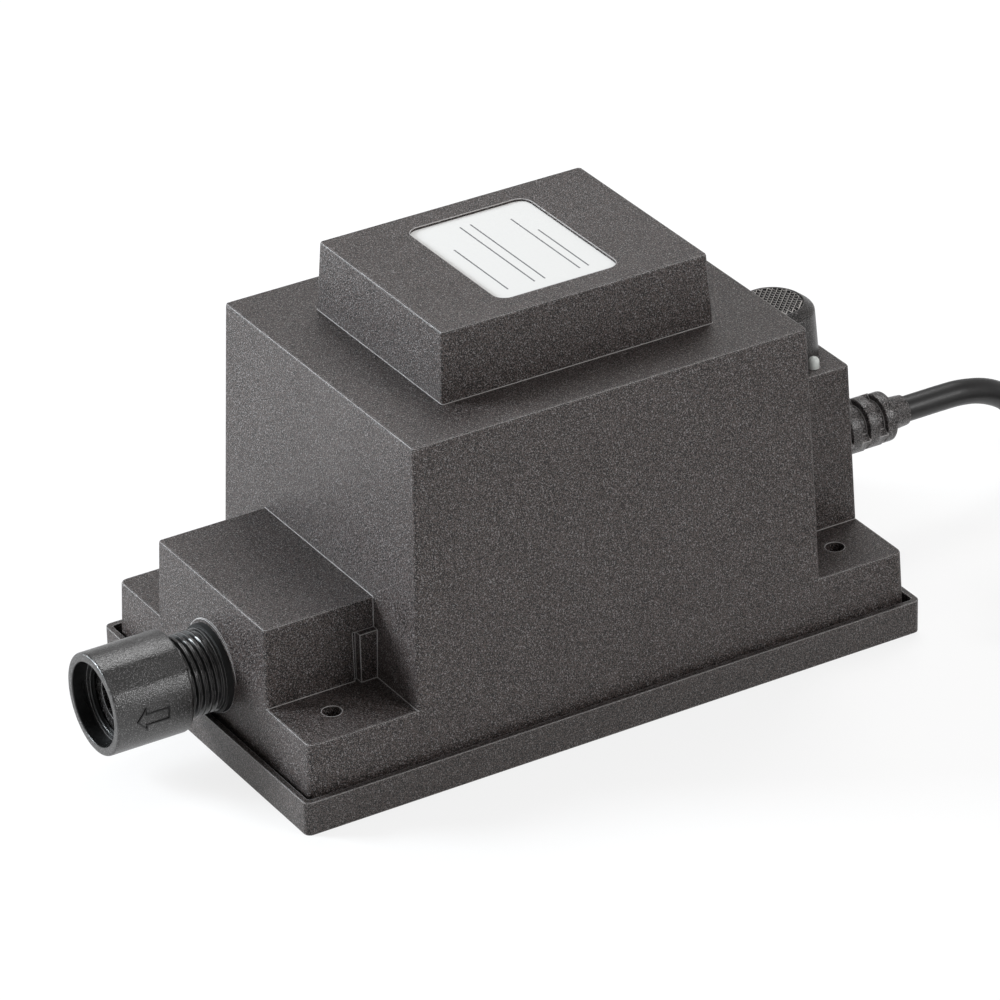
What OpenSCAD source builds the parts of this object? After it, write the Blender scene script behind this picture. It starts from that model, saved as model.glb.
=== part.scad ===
// Garden lighting power supply: a stepped, drafted housing on a base tray,
// a threaded output socket with its coupling nut, a light sensor and a mains cord.
// The long side runs along X, the mains end is +X, and the tray stands on Z = 0.

/* [Housing] */
// Width of the flange at the tray floor line
flange_w = 100; // [96:0.1:120]
// Height of the flange shoulder
flange_h = 23; // [20:0.1:30]
// Wall of the cover
wall = 2.6; // [2:0.1:3.2]
// Draft of the cover walls, in degrees
draft = 1.95; // [0.5:0.05:2.5]
// Radius of the upright corners
corner_r = 0.9; // [0.6:0.1:3]
// Radius of the upright corners of the flange
flange_r = 2; // [1:0.1:4]
// Rounding of the upper edges
edge_r = 0.5; // [0.3:0.1:1.5]

/* [Blocks on the flange] */
// Length of the main block at the shoulder
main_l = 119; // [115:0.1:130]
// How far the output block stands out of the main block
output_l = 30.8; // [28:0.1:36]
// How far the mains block stands out of the main block
mains_l = 25.4; // [24:0.1:32]
// Width of both end blocks
end_block_w = 56.2; // [50:0.1:60]
// Top of the output end block
output_top = 44.8; // [42:0.1:60]
// Top of the mains end block
mains_top = 67.6; // [60:0.1:80]
// Length of the cap on the main block
cap_l = 79; // [70:0.1:90]
// Width of the cap on the main block
cap_w = 62.2; // [50:0.1:70]
// Height of the cap above the main block
cap_h = 19.1; // [15:0.1:25]
// Draft of the cap walls, in degrees
cap_draft = 3.2; // [0.5:0.1:4]

/* [Base tray] */
// Height of the tray rim
tray_h = 9.3; // [7:0.1:12]
// Radius of the upright corners of the tray
tray_r = 1.8; // [1.2:0.1:4]
// Wall of the tray rim
tray_wall = 1.6; // [1.2:0.1:2.4]
// Floor of the tray
tray_floor = 2.5; // [2:0.1:3.5]
// Gap between the rim and the cover
rim_gap = 1; // [0.6:0.1:1.5]
// Thickness of the gasket under the cover
gasket_t = 1.5; // [1:0.1:2]

/* [Fixings] */
// Bore of the corner mounting holes
mount_bore = 5.1; // [4:0.1:6]
// Distance from the flange end to the mounting holes
mount_in_x = 13.9; // [12:0.1:16]
// Distance from the flange side to the mounting holes
mount_in_y = 12.5; // [11:0.1:14]
// Shank of the screws that close the tray
screw_d = 3.5; // [3:0.1:4]

/* [Output] */
// Outer diameter of the socket thread
socket_d = 21.6; // [20:0.1:24]
// Pitch of the socket thread
thread_pitch = 1.8; // [1.4:0.1:2]
// How far the socket stands out of the end face
socket_reach = 16.4; // [15.6:0.1:18]
// Wall of the coupling nut outside its bore
nut_wall = 2.35; // [2:0.05:3]
// Length of the coupling nut
nut_l = 21.5; // [20:0.1:26]
// Distance from the end face to the nut, as photographed
nut_stand = 12.1; // [11.6:0.1:13]

/* [Sensor] */
// Edge of the mains block left free beside the sensor collar
collar_in = 0.8; // [0.5:0.1:3]
// Height of the collar, foot to shoulder
collar_h = 12.4; // [8:0.1:16]
// Diameter of the indicator lamp
led_d = 3; // [2.5:0.1:4]

/* [Transformer] */
// Room between the core and the end walls of the main block
core_gap = 11.5; // [9:0.1:14]
// Room above the core bracket
core_room = 4.2; // [2:0.1:6]
// Room between the bobbin and the side walls
coil_side = 11.5; // [10:0.1:15]

/* [Mains cord] */
// Diameter of the cord
cord_d = 7; // [6:0.1:7.4]
// Length of the strain relief outside the housing
relief_l = 34; // [30:0.1:40]
// Depth of the cord exit below the top of the mains block
cord_drop = 35.2; // [32:0.1:38]
// Turns in each layer of the stored coil
coil_turns = 2.75; // [1.75:1:4.75]

/* [Hidden] */
$fn = 64;
// Overrun of every cut
over = 0.5;
// Thickness of the slices that a rounded block is hulled from
slice = 0.02;
// Facets of a small round corner or ball
corner_facets = 32;
// Shares of the edge rounding at its middle and at its top
edge_low_share = 0.3;
edge_mid_share = 0.25;
edge_top_share = 0.8;
// Play of a piece in its seat
fit = 0.1;
// Running clearance of the pieces that turn or slide
run = 0.25;

/* Housing, worked out */
lean = tan(draft);
cap_lean = tan(cap_draft);
floor_z = tray_floor + gasket_t;
flange_l = main_l + output_l + mains_l + 2 * flange_h * lean;
main_shift = (output_l - mains_l) / 2;
tray_l = flange_l + 2 * (rim_gap + tray_wall);
tray_w = flange_w + 2 * (rim_gap + tray_wall);
main_x0 = main_shift - main_l / 2;
main_x1 = main_shift + main_l / 2;
mount_pitch_x = flange_l - 2 * mount_in_x;
mount_pitch_y = flange_w - 2 * mount_in_y;
// Ribs beside the output block and the grooves next to them
rib_l = 4.6;
rib_h = 13.5;
rib_out = 1.4;
groove_w = 1;
// Recess of the label in the cap, and the label itself
label_in_x = 21.9;
label_in_y = 8.1;
label_l = cap_l - 2 * label_in_x;
label_w = cap_w - 2 * label_in_y;
label_r = 3.5;
label_depth = 1;
label_t = 0.4;
// Columns, bosses and screws
column_d = 11;
boss_d = 8;
boss_h = 13;
small_boss_d = 6;
pad_h = 2.6;
head_d = 7;
head_h = 2.2;
tray_screw_l = 12;
tray_screw_in = 40;
pad_d = boss_d + 1;
tray_screw_x = [-flange_l / 2 + tray_screw_in, 0, flange_l / 2 - tray_screw_in];
tray_screw_y = flange_w / 2 - wall - pad_d / 2 - 2 * fit;

/* Output, worked out */
// Height of the tray rim that the socket clears
socket_clear = 1.4;
socket_z = tray_h + socket_d / 2 + socket_clear;
face_x = socket_z * lean - flange_l / 2;
face_in_x = face_x + wall;
seal_t = 1.5;
seal_w = 0.8;
seal_d = socket_d + 2 * seal_w;
seal_land = 2;
socket_mouth = face_x - socket_reach;
socket_foot = face_x - seal_t;
socket_wall = 2.8;
socket_bore = socket_d - 2 * socket_wall;
tail_in = 1.3;
tail_d = socket_d - 2 * tail_in;
tail_out = 1.6;
back_nut_t = 5;
back_nut_w = 3;
back_nut_af = tail_d + 2 * back_nut_w;
back_nut_d = back_nut_af / cos(30);
nut_land_d = back_nut_d + seal_land / 2;
tail_end = face_in_x + back_nut_t + tail_out;
crest_h = 0.9;
// Half widths of a crest at its root and at its top, as shares of the pitch
crest_root_share = 0.4;
crest_top_share = 0.12;
crest_first_share = 0.6;
carrier_l = 9;
pin_d = 3.2;
pin_gap = 7;
pin_out = 11;
pin_tail = 5;
nut_x1 = face_x - nut_stand;
nut_x0 = nut_x1 - nut_l;
nut_bore = socket_d + 2 * run;
nut_d = nut_bore + 2 * nut_wall;
nut_bevel = 0.8;
lip_in = 5.6;
lip_x = nut_x0 + lip_in;
lip_t = 1.4;
lip_d = socket_d - socket_wall;
flat_cut = 0.35;
flat_angle = 25;
ring_t = 2;
ring_w_in = 1.5;
ring_bore = socket_bore - 2 * ring_w_in;
ring_x0 = lip_x + run + fit;

/* Sensor and board, worked out */
mains_end = flange_l / 2 - mains_top * lean;
sensor_x = (main_x1 + mains_end) / 2;
sensor_in_y = 19;
sensor_y = sensor_in_y - end_block_w / 2;
collar_d = mains_l - 2 * collar_in;
collar_step = 1;
collar_wall = 1.8;
collar_ledge = 2;
collar_foot = 0.8;
collar_bevel = 0.5;
shoulder_h = 2.1;
lens_edge = 4.1;
lens_lip = 1.2;
lens_bevel = 0.4;
lens_d = collar_d - 2 * lens_edge;
lens_t = 2.6;
lens_z = mains_top + collar_h + shoulder_h;
sensor_seal_w = 1.8;
led_in_x = 8.1;
led_gap = 1.4;
led_x = mains_end - led_in_x;
led_y = sensor_y - collar_d / 2 - led_gap;
led_dome = 3;
led_lead = 0.5;
led_lead_gap = 2.54;
led_foot = 1;
board_t = 1.6;
board_gap = 0.9;
board_edge = 5.4;
board_l = mains_l - board_edge;
board_side = 4.3;
board_w = end_block_w - 2 * board_side;
board_x = mains_end - wall - board_gap - board_l / 2;
board_drop = 4;
board_z = mains_top - wall - board_drop - board_t;
board_screw_d = 2.5;
board_screw_in = 3.5;
board_screw_out = 3.4;
board_screw_l = 5.6;
board_screw_y = board_w / 2 - board_screw_in;
board_screw_x = [board_screw_out - board_l / 2, board_l / 2 - board_screw_out - fit];
terminal = [8, 10, 10];
terminal_in = 1;
terminal_y = 6;
terminal_way = 2.6;
terminal_pitch = 5;
terminal_z = 3;
relay_size = [15, 19, 15.5];
relay_in = 2;
relay_side = 7.3;
relay_y = relay_side - board_w / 2;
capacitor_d = 6.3;
capacitor_h = 12;
capacitor_in = 5;
capacitor_side = 9.3;
capacitor_y = board_w / 2 - capacitor_side;
cell_d = 5.1;
cell_t = 2;
cell_gap = 0.6;
cell_lead = 0.6;
cell_lead_gap = 3.4;

/* Transformer, worked out */
strap_t = 1.5;
core_seat = 3.5;
core_z = tray_floor + core_seat;
core_l = main_l - 2 * core_gap;
// Outer leg, yoke and window of the standard lamination, half of its centre leg
core_leg = core_l / 6;
core_h = 5 * core_leg;
core_t = flange_w - 2 * (core_leg + coil_side);
window_h = core_h - 2 * core_leg;
main_top = core_z + core_h + strap_t + core_room + wall;
cap_top = main_top + cap_h;
bolt_d = 4;
bolt_in = 4.6;
bolt_head = 7;
bolt_head_t = 3;
strap_w = 34;
foot_l = 9;
foot_hole_y = 11;
foot_x = [main_shift - core_l / 2 - strap_t - foot_l / 2, main_shift + core_l / 2 + strap_t + foot_l / 2];
rail_y = core_t / 3;
tube_t = 1.2;
cheek_t = 1.5;
tape_t = 0.5;
wire_r = 6;
wire_in = 1.4;
coil_in_x = core_leg + fit + tube_t;
coil_in_y = core_t / 2 + fit + tube_t;
cheek_x = 2 * core_leg - 2 * fit;
cheek_y = core_t / 2 + core_leg - 2 * fit;
winding_x = cheek_x - wire_in;
winding_y = cheek_y - wire_in;
bob_z0 = core_z + core_leg + fit;
bob_h = window_h - 2 * fit;
mid_z = bob_z0 + bob_h / 2;
chamber_h = (bob_h - 3 * cheek_t) / 2;
bob_pins = 5;
bob_pin_t = 0.8;
bob_pin_l = 4;
bob_pin_pitch = cheek_x / 3;
cutout_size = [14, 4.2, 10];

/* Cord, worked out */
cord_z = mains_top - cord_drop;
mains_face_x = flange_l / 2 - cord_z * lean;
relief_tip = mains_face_x + relief_l;
boot_wall = 4.2;
boot_tip_wall = 3.3;
boot_core_wall = 1.7;
boot_neck_wall = 2;
boot_foot = 0.6;
boot_flange = 1.5;
relief_d = cord_d + 2 * boot_wall;
relief_tip_d = cord_d + 2 * boot_tip_wall;
relief_core_d = cord_d + 2 * boot_core_wall;
relief_hole_d = cord_d + 2 * boot_neck_wall;
relief_foot_d = relief_d + 2 * boot_foot;
relief_in_d = relief_d + 2 * boot_flange;
relief_rings = 5;
// Plain sleeve beyond the last ring
sleeve_l = 6;
sleeve_wall = 1.1;
sleeve_tip_wall = 0.6;
sleeve_d = cord_d + 2 * sleeve_wall;
sleeve_tip_d = cord_d + 2 * sleeve_tip_wall;
ring_w = 3.6;
bridge_share = 0.22;
flange_t = 2;
clamp_t = 3;
clamp_w = 18;
clamp_h = 16;
cord_in = 6;
tie_t = 1;
tie_w = 12;
coil_gap = 0.6;
coil_in_r = 4 * cord_d + tie_t;
coil_out_r = coil_in_r + coil_turns * (cord_d + coil_gap);
coil_z = tie_t + cord_d / 2;
layer_h = cord_d + coil_gap;
// Free stretch as it lies: forward and aside from the relief's tip, and the share of the drop to the table
run_points = [[14, 0, 0], [19.2, 0.1, 0.015], [24.3, 0.5, 0.06], [29, 1.1, 0.133], [33.4, 1.9, 0.233],
    [37.2, 2.8, 0.356], [40.4, 4, 0.5], [43.6, 5.2, 0.644], [47.4, 6.1, 0.767], [51.8, 6.9, 0.867],
    [56.5, 7.5, 0.94], [61.6, 7.9, 0.985], [66.8, 8, 1], [80.8, 8, 1]];
run_side = run_points[len(run_points) - 1][1];
run_end = [relief_tip + run_points[len(run_points) - 1][0], run_side, coil_z];
coil_x = run_end[0] + cord_d;
turn_steps = 24;
cord_sides = 10;
coil_sides = 6;
plug_l = 36;
plug_w = 37;
plug_neck = 14;
neck_wall = 2;
plug_pin_d = 4.8;
plug_pin_l = 19;
plug_pin_gap = 19;
// Straight end that carries the plug clear of the coil
tail_l = sqrt(pow(coil_out_r + cord_d / 2, 2) - pow(coil_out_r - plug_w / 2, 2)) - plug_neck + 2 * coil_gap;

// One horizontal slice with round corners
module plate(x0, x1, y0, y1, r, z) {
    for (x = [x0 + r, x1 - r], y = [y0 + r, y1 - r])
        translate([x, y, z]) cylinder(r = r, h = slice, $fn = corner_facets);
}

// A drafted block with round corners and a rounded upper edge, sized at z0
module block(x0, x1, y0, y1, z0, z1, t, r = corner_r) {
    a = (z1 - edge_r - z0) * t;
    b = (z1 - z0) * t + edge_r * edge_top_share;
    c = (z1 - edge_r * edge_low_share - z0) * t + edge_r * edge_mid_share;
    hull() {
        plate(x0, x1, y0, y1, r, z0);
        plate(x0 + a, x1 - a, y0 + a, y1 - a, r, z1 - edge_r - slice);
        plate(x0 + c, x1 - c, y0 + c, y1 - c, r, z1 - edge_r * edge_low_share - slice);
        plate(x0 + b, x1 - b, y0 + b, y1 - b, r, z1 - slice);
    }
}

// A drafted room with plain corners, cut from the inside of a block
module room(x0, x1, y0, y1, z0, z1, t) {
    d = (z1 - z0) * t;
    intersection() {
        translate([0, y1, 0]) rotate([90, 0, 0]) linear_extrude(y1 - y0)
            polygon([[x0, z0], [x1, z0], [x1 - d, z1], [x0 + d, z1]]);
        translate([x0, 0, 0]) rotate([90, 0, 90]) linear_extrude(x1 - x0)
            polygon([[y0, z0], [y1, z0], [y1 - d, z1], [y0 + d, z1]]);
    }
}

// A cylinder along +X
module rod(x0, x1, y, z, d) {
    translate([x0, y, z]) rotate([0, 90, 0]) cylinder(d = d, h = x1 - x0);
}

// Children at each corner of a rectangle of holes
module at_corners(px, py) {
    for (x = [-px / 2, px / 2], y = [-py / 2, py / 2]) translate([x, y, 0]) children();
}

// Children at both screws of the control board
module at_board_screws() {
    for (i = [0, 1]) translate([board_x + board_screw_x[i], (2 * i - 1) * board_screw_y, 0]) children();
}

// Children at each foot of the core bracket
module at_feet() {
    for (x = foot_x, y = [-foot_hole_y, foot_hole_y]) translate([x, y, 0]) children();
}

// Children at each screw that closes the tray
module at_tray_screws() {
    for (x = tray_screw_x, y = [-tray_screw_y, tray_screw_y]) translate([x, y, 0]) children();
}

// A slab with round upright corners, centred on the origin
module slab(l, w, r, z, h) {
    translate([0, 0, z]) union() {
        translate([-l / 2, -w / 2 + r, 0]) cube([l, w - 2 * r, h]);
        translate([-l / 2 + r, -w / 2, 0]) cube([l - 2 * r, w, h]);
        at_corners(l - 2 * r, w - 2 * r) cylinder(r = r, h = h);
    }
}

module base_tray() {
    in_l = tray_l - 2 * tray_wall;
    in_w = tray_w - 2 * tray_wall;
    color("#3a3836") difference() {
        union() {
            difference() {
                slab(tray_l, tray_w, tray_r, 0, tray_h);
                slab(in_l, in_w, tray_r - tray_wall / 2, tray_floor, tray_h);
            }
            at_tray_screws() cylinder(d = pad_d, h = tray_floor + pad_h);
            at_feet() cylinder(d = boss_d, h = core_z);
            for (y = [-rail_y, rail_y])
                translate([main_shift - core_l / 2 + foot_l, y - tray_wall, 0])
                    cube([core_l - 2 * foot_l, 2 * tray_wall, core_z]);
        }
        at_corners(mount_pitch_x, mount_pitch_y)
            translate([0, 0, -over]) cylinder(d = mount_bore, h = tray_floor + 2 * over);
        at_tray_screws() {
            translate([0, 0, -over]) cylinder(d = screw_d + 2 * fit, h = tray_h);
            translate([0, 0, -over]) cylinder(d = head_d + 2 * fit, h = head_h + fit + over);
        }
        at_feet() translate([0, 0, tray_floor]) cylinder(d = screw_d - 2 * fit, h = core_z);
    }
}

module base_gasket() {
    color("#222222") difference() {
        slab(flange_l + rim_gap, flange_w + rim_gap, corner_r, tray_floor, gasket_t);
        slab(flange_l - 2 * (wall + fit), flange_w - 2 * (wall + fit), corner_r, 0, floor_z + over);
    }
}

module tray_screws() {
    color("silver") at_tray_screws() {
        cylinder(d = head_d, h = head_h);
        cylinder(d = screw_d, h = tray_screw_l);
    }
}

// Outside of the cover
module cover_outer() {
    half_l = flange_l / 2 - floor_z * lean;
    half_w = flange_w / 2 - floor_z * lean;
    sink = (flange_h - floor_z) * lean;
    block_y = end_block_w / 2 + sink;
    block(-half_l, half_l, -half_w, half_w, floor_z, flange_h, lean, flange_r);
    block(main_x0 - sink, main_x1 + sink, -half_w, half_w, floor_z, main_top, lean);
    block(-half_l, main_shift, -block_y, block_y, floor_z, output_top, lean);
    block(main_shift, half_l, -block_y, block_y, floor_z, mains_top, lean);
    block(main_shift - cap_l / 2, main_shift + cap_l / 2, -cap_w / 2, cap_w / 2,
        main_top - edge_r, cap_top, cap_lean);
    for (s = [0, 1]) mirror([0, s, 0]) translate([main_x0 - rib_l, end_block_w / 2 - wall, flange_h - over])
        cube([rib_l + wall, wall + rib_out, rib_h + over]);
}

// Inside of the cover, open toward the tray
module cover_rooms() {
    half_l = flange_l / 2 - floor_z * lean - wall;
    half_w = flange_w / 2 - floor_z * lean - wall;
    sink = (flange_h - floor_z) * lean - wall;
    block_y = end_block_w / 2 + sink;
    low = floor_z - over;
    room(-half_l, half_l, -half_w, half_w, low, flange_h - wall, lean);
    room(main_x0 - sink, main_x1 + sink, -half_w, half_w, low, main_top - wall, lean);
    room(-half_l, main_shift, -block_y, block_y, low, output_top - wall, lean);
    room(main_shift, half_l, -block_y, block_y, low, mains_top - wall, lean);
    room(main_shift - cap_l / 2 + wall, main_shift + cap_l / 2 - wall,
        -cap_w / 2 + wall, cap_w / 2 - wall, main_top - wall - over, cap_top - wall - label_depth, cap_lean);
}

module housing_cover() {
    color("#4b4643") difference() {
        union() {
            difference() {
                cover_outer();
                cover_rooms();
            }
            at_corners(mount_pitch_x, mount_pitch_y)
                translate([0, 0, tray_floor]) cylinder(d = column_d, h = flange_h - wall - tray_floor + fit);
            at_tray_screws()
                translate([0, 0, tray_floor + pad_h]) cylinder(d = boss_d, h = boss_h);
            for (x = tray_screw_x, s = [0, 1]) mirror([0, s, 0])
                translate([x - tray_wall / 2, tray_screw_y, tray_floor + pad_h])
                    cube([tray_wall, flange_w / 2 - wall - tray_screw_y, boss_h]);
            at_board_screws() translate([0, 0, board_z + board_t])
                cylinder(d = small_boss_d, h = mains_top - wall - board_z - board_t + fit);
            rod(face_x, face_in_x, 0, socket_z, seal_d + seal_land);
            rod(face_in_x - wall / 2, face_in_x, 0, socket_z, nut_land_d);
            rod(mains_face_x - wall / 2, mains_face_x, 0, cord_z, relief_foot_d + seal_land / 2);
            rod(mains_face_x - wall, mains_face_x - wall / 2, 0, cord_z, relief_in_d + seal_land / 2);
        }
        rod(face_x - wall, face_x, 0, socket_z, seal_d + 2 * fit);
        rod(face_in_x, face_in_x + wall, 0, socket_z, nut_land_d);
        rod(mains_face_x, mains_face_x + wall, 0, cord_z, relief_foot_d + 2 * fit);
        rod(mains_face_x - 2 * wall, mains_face_x - wall, 0, cord_z, relief_in_d + seal_land / 2);
        at_corners(mount_pitch_x, mount_pitch_y)
            translate([0, 0, -over]) cylinder(d = mount_bore, h = flange_h + 2 * over);
        at_tray_screws()
            translate([0, 0, tray_floor]) cylinder(d = screw_d + fit, h = tray_screw_l - tray_floor + fit);
        rod(face_x - 2 * wall, face_x + 2 * wall, 0, socket_z, tail_d + 2 * fit);
        rod(mains_face_x - 2 * wall, mains_face_x + 2 * wall, 0, cord_z, relief_hole_d + 2 * fit);
        translate([sensor_x, sensor_y, mains_top - 2 * wall])
            cylinder(d = collar_d - 2 * (collar_wall + collar_step), h = 4 * wall);
        translate([led_x, led_y, mains_top - 2 * wall]) cylinder(d = led_d + 2 * fit, h = 4 * wall);
        at_board_screws() translate([0, 0, board_z])
            cylinder(d = board_screw_d, h = mains_top - wall - board_z);
        label_shape(label_depth, cap_top - label_depth, 0);
        rib_groove();
    }
}

// Narrow grooves beside the ribs at the output block
module rib_groove() {
    for (s = [0, 1]) mirror([0, s, 0])
        translate([main_x0 - rib_l - groove_w, end_block_w / 2 - groove_w, flange_h])
            cube([groove_w, wall + groove_w, rib_h]);
}

// Rounded rectangle in the middle of the cap
module label_shape(t, z, grow) {
    l = label_l / 2 + grow;
    w = label_w / 2 + grow;
    translate([main_shift, 0, z]) linear_extrude(t) union() {
        square([2 * l, 2 * (w - label_r)], center = true);
        square([2 * (l - label_r), 2 * w], center = true);
        for (x = [-1, 1], y = [-1, 1]) translate([x * (l - label_r), y * (w - label_r)]) circle(r = label_r);
    }
}

module label_plate() {
    color("whitesmoke") label_shape(label_t, cap_top - label_depth, -fit);
}

module output_socket() {
    crests = floor((socket_foot - socket_mouth - thread_pitch) / thread_pitch);
    root_r = socket_d / 2 - crest_h;
    deep_r = (socket_bore + crest_h) / 2;
    w = thread_pitch * crest_root_share;
    v = thread_pitch * crest_top_share;
    color("#161616") difference() {
        union() {
            rod(socket_mouth, socket_foot, 0, socket_z, 2 * root_r);
            rod(socket_foot - thread_pitch / 2, socket_foot, 0, socket_z, socket_d);
            rod(socket_foot, tail_end, 0, socket_z, tail_d);
            for (i = [0:crests])
                translate([socket_mouth + (i + crest_first_share) * thread_pitch, 0, socket_z])
                    rotate([0, 90, 0]) rotate_extrude()
                        polygon([[deep_r, -w], [root_r, -w], [root_r + crest_h, -v],
                            [root_r + crest_h, v], [root_r, w], [deep_r, w]]);
        }
        rod(socket_mouth - over, tail_end + over, 0, socket_z, socket_bore);
    }
}

module socket_seal() {
    color("#0d0d0d") difference() {
        rod(socket_foot, face_x, 0, socket_z, seal_d);
        rod(socket_foot - over, face_x + over, 0, socket_z, tail_d + 2 * fit);
    }
}

module socket_back_nut() {
    color("#2a2a2a") difference() {
        translate([face_in_x, 0, socket_z]) rotate([0, 90, 0])
            cylinder(d = back_nut_d, h = back_nut_t, $fn = 6);
        rod(face_in_x - over, face_in_x + back_nut_t + over, 0, socket_z, tail_d + fit);
    }
}

module contact_carrier() {
    x0 = tail_end - carrier_l;
    color("#8c8a80") difference() {
        rod(x0, tail_end, 0, socket_z, socket_bore - fit);
        for (y = [-pin_gap / 2, pin_gap / 2]) rod(x0 - over, tail_end + over, y, socket_z, pin_d + fit);
    }
}

module output_contacts() {
    x0 = tail_end - carrier_l - pin_out;
    color("goldenrod") for (y = [-pin_gap / 2, pin_gap / 2]) {
        rod(x0 + pin_d / 2, tail_end + pin_tail, y, socket_z, pin_d);
        translate([x0 + pin_d / 2, y, socket_z]) sphere(d = pin_d, $fn = corner_facets);
    }
}

module clamp_ring() {
    color("#1c1c1c") translate([ring_x0, 0, socket_z]) rotate([0, 90, 0]) difference() {
        cylinder(d = nut_bore - 2 * run, h = ring_t);
        translate([0, 0, -over]) cylinder(d = ring_bore, h = ring_t + 2 * over);
    }
}

module coupling_nut() {
    r = nut_d / 2;
    color("#2b2b2b") translate([nut_x0, 0, socket_z]) rotate([0, 90, 0]) difference() {
        rotate_extrude() polygon([[lip_d / 2, 0], [r - nut_bevel, 0], [r, nut_bevel],
            [r, nut_l - nut_bevel], [r - nut_bevel, nut_l], [lip_d / 2, nut_l]]);
        translate([0, 0, -over]) cylinder(d = nut_bore, h = lip_x - lip_t - nut_x0 + over);
        translate([0, 0, lip_x - nut_x0]) cylinder(d = nut_bore, h = nut_l);
        for (a = [flat_angle, flat_angle + 180]) rotate([0, 0, 180 + a])
            translate([r - flat_cut, -r, -over]) cube([nut_d, nut_d, nut_l + 2 * over]);
    }
}

// Children at each bolt of the stack
module at_bolts() {
    for (x = [-1, 1], z = [core_z + bolt_in, core_z + core_h - bolt_in])
        translate([main_shift + x * (core_l / 2 - bolt_in), 0, z]) rotate([90, 0, 0]) children();
}

module bolt_holes() {
    at_bolts() cylinder(d = bolt_d + 2 * fit, h = core_t + 2 * over, center = true);
}

module core_e_stack() {
    color("#6d6a66") difference() {
        translate([main_shift - core_l / 2, -core_t / 2, core_z]) cube([core_l, core_t, core_h - core_leg]);
        for (x = [-2 * core_leg, core_leg])
            translate([main_shift + x, -core_t / 2 - over, core_z + core_leg])
                cube([core_leg, core_t + 2 * over, core_h]);
        bolt_holes();
    }
}

module core_i_stack() {
    color("#77736e") difference() {
        translate([main_shift - core_l / 2, -core_t / 2, core_z + core_h - core_leg])
            cube([core_l, core_t, core_leg]);
        bolt_holes();
    }
}

module core_bolts() {
    color("silver") at_bolts() {
        cylinder(d = bolt_d, h = core_t + 2 * bolt_d, center = true);
        translate([0, 0, core_t / 2]) cylinder(d = bolt_head, h = bolt_head_t, $fn = 6);
        translate([0, 0, -core_t / 2 - bolt_head_t]) cylinder(d = bolt_head, h = bolt_head_t, $fn = 6);
    }
}

module core_bracket() {
    x = core_l / 2 + strap_t;
    color("#9a9c9e") difference() {
        translate([main_shift, -strap_w / 2, 0]) union() {
            translate([-x, 0, core_z + core_h]) cube([2 * x, strap_w, strap_t]);
            for (s = [0, 1]) mirror([s, 0, 0]) {
                translate([core_l / 2, 0, core_z]) cube([strap_t, strap_w, core_h + over]);
                translate([core_l / 2, 0, core_z]) cube([foot_l + strap_t, strap_w, strap_t]);
            }
        }
        translate([0, 0, core_z - over]) at_feet() cylinder(d = screw_d + 2 * fit, h = strap_t + 2 * over);
    }
}

module bracket_screws() {
    color("silver") at_feet() {
        translate([0, 0, tray_floor + fit])
            cylinder(d = screw_d - 3 * fit, h = core_z - tray_floor + strap_t);
        translate([0, 0, core_z + strap_t]) cylinder(d = head_d, h = head_h);
    }
}

// Ring round the centre leg between two half sizes
module leg_ring(ix, iy, ox, oy, z, h) {
    translate([main_shift, 0, z]) difference() {
        translate([-ox, -oy, 0]) cube([2 * ox, 2 * oy, h]);
        translate([-ix, -iy, -over]) cube([2 * ix, 2 * iy, h + 2 * over]);
    }
}

// Ring with round corners, as wire lies on a bobbin
module wound_ring(ix, iy, ox, oy, z, h, r) {
    translate([main_shift, 0, z]) difference() {
        slab(2 * ox, 2 * oy, r, 0, h);
        translate([-ix, -iy, -over]) cube([2 * ix, 2 * iy, h + 2 * over]);
    }
}

module bobbin() {
    color("#d8d4c4") union() {
        leg_ring(core_leg + fit, core_t / 2 + fit, coil_in_x, coil_in_y, bob_z0, bob_h);
        for (z = [bob_z0, mid_z - cheek_t / 2, bob_z0 + bob_h - cheek_t])
            leg_ring(core_leg + fit, core_t / 2 + fit, cheek_x, cheek_y, z, cheek_t);
    }
}

module bobbin_pins() {
    color("goldenrod") for (i = [0:bob_pins - 1], z = [bob_z0, bob_z0 + bob_h - cheek_t])
        translate([main_shift + (i - (bob_pins - 1) / 2) * bob_pin_pitch - bob_pin_t / 2,
            cheek_y, z + (cheek_t - bob_pin_t) / 2])
            cube([bob_pin_t, bob_pin_l, bob_pin_t]);
}

module secondary_winding() {
    color("#b5632d")
        wound_ring(coil_in_x, coil_in_y, winding_x, winding_y, bob_z0 + cheek_t, chamber_h, wire_r);
}

module primary_winding() {
    color("#a4502a")
        wound_ring(coil_in_x, coil_in_y, winding_x, winding_y, mid_z + cheek_t / 2, chamber_h, wire_r);
}

module winding_tape() {
    color("#e0c341") for (z = [bob_z0 + cheek_t, mid_z + cheek_t / 2]) difference() {
        translate([main_shift, 0, z])
            slab(2 * (winding_x + tape_t), 2 * (winding_y + tape_t), wire_r + tape_t, 0, chamber_h);
        translate([main_shift, 0, z]) slab(2 * winding_x, 2 * winding_y, wire_r, -over, chamber_h + 2 * over);
    }
}

module thermal_cutout() {
    color("#c9c9c2") translate([main_shift - cutout_size[0] / 2, -winding_y - tape_t - cutout_size[1],
        mid_z + (cheek_t + chamber_h - cutout_size[2]) / 2]) cube(cutout_size);
}

module control_board() {
    color("#1f5a34") difference() {
        translate([board_x - board_l / 2, -board_w / 2, board_z]) cube([board_l, board_w, board_t]);
        at_board_screws() translate([0, 0, board_z - over])
            cylinder(d = board_screw_d + 2 * fit, h = board_t + 2 * over);
    }
}

module board_screws() {
    d = board_screw_d - fit;
    color("silver") at_board_screws() {
        translate([0, 0, board_z - head_h]) cylinder(d = 2 * d, h = head_h);
        translate([0, 0, board_z - head_h / 2]) cylinder(d = d, h = board_screw_l);
    }
}

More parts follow.
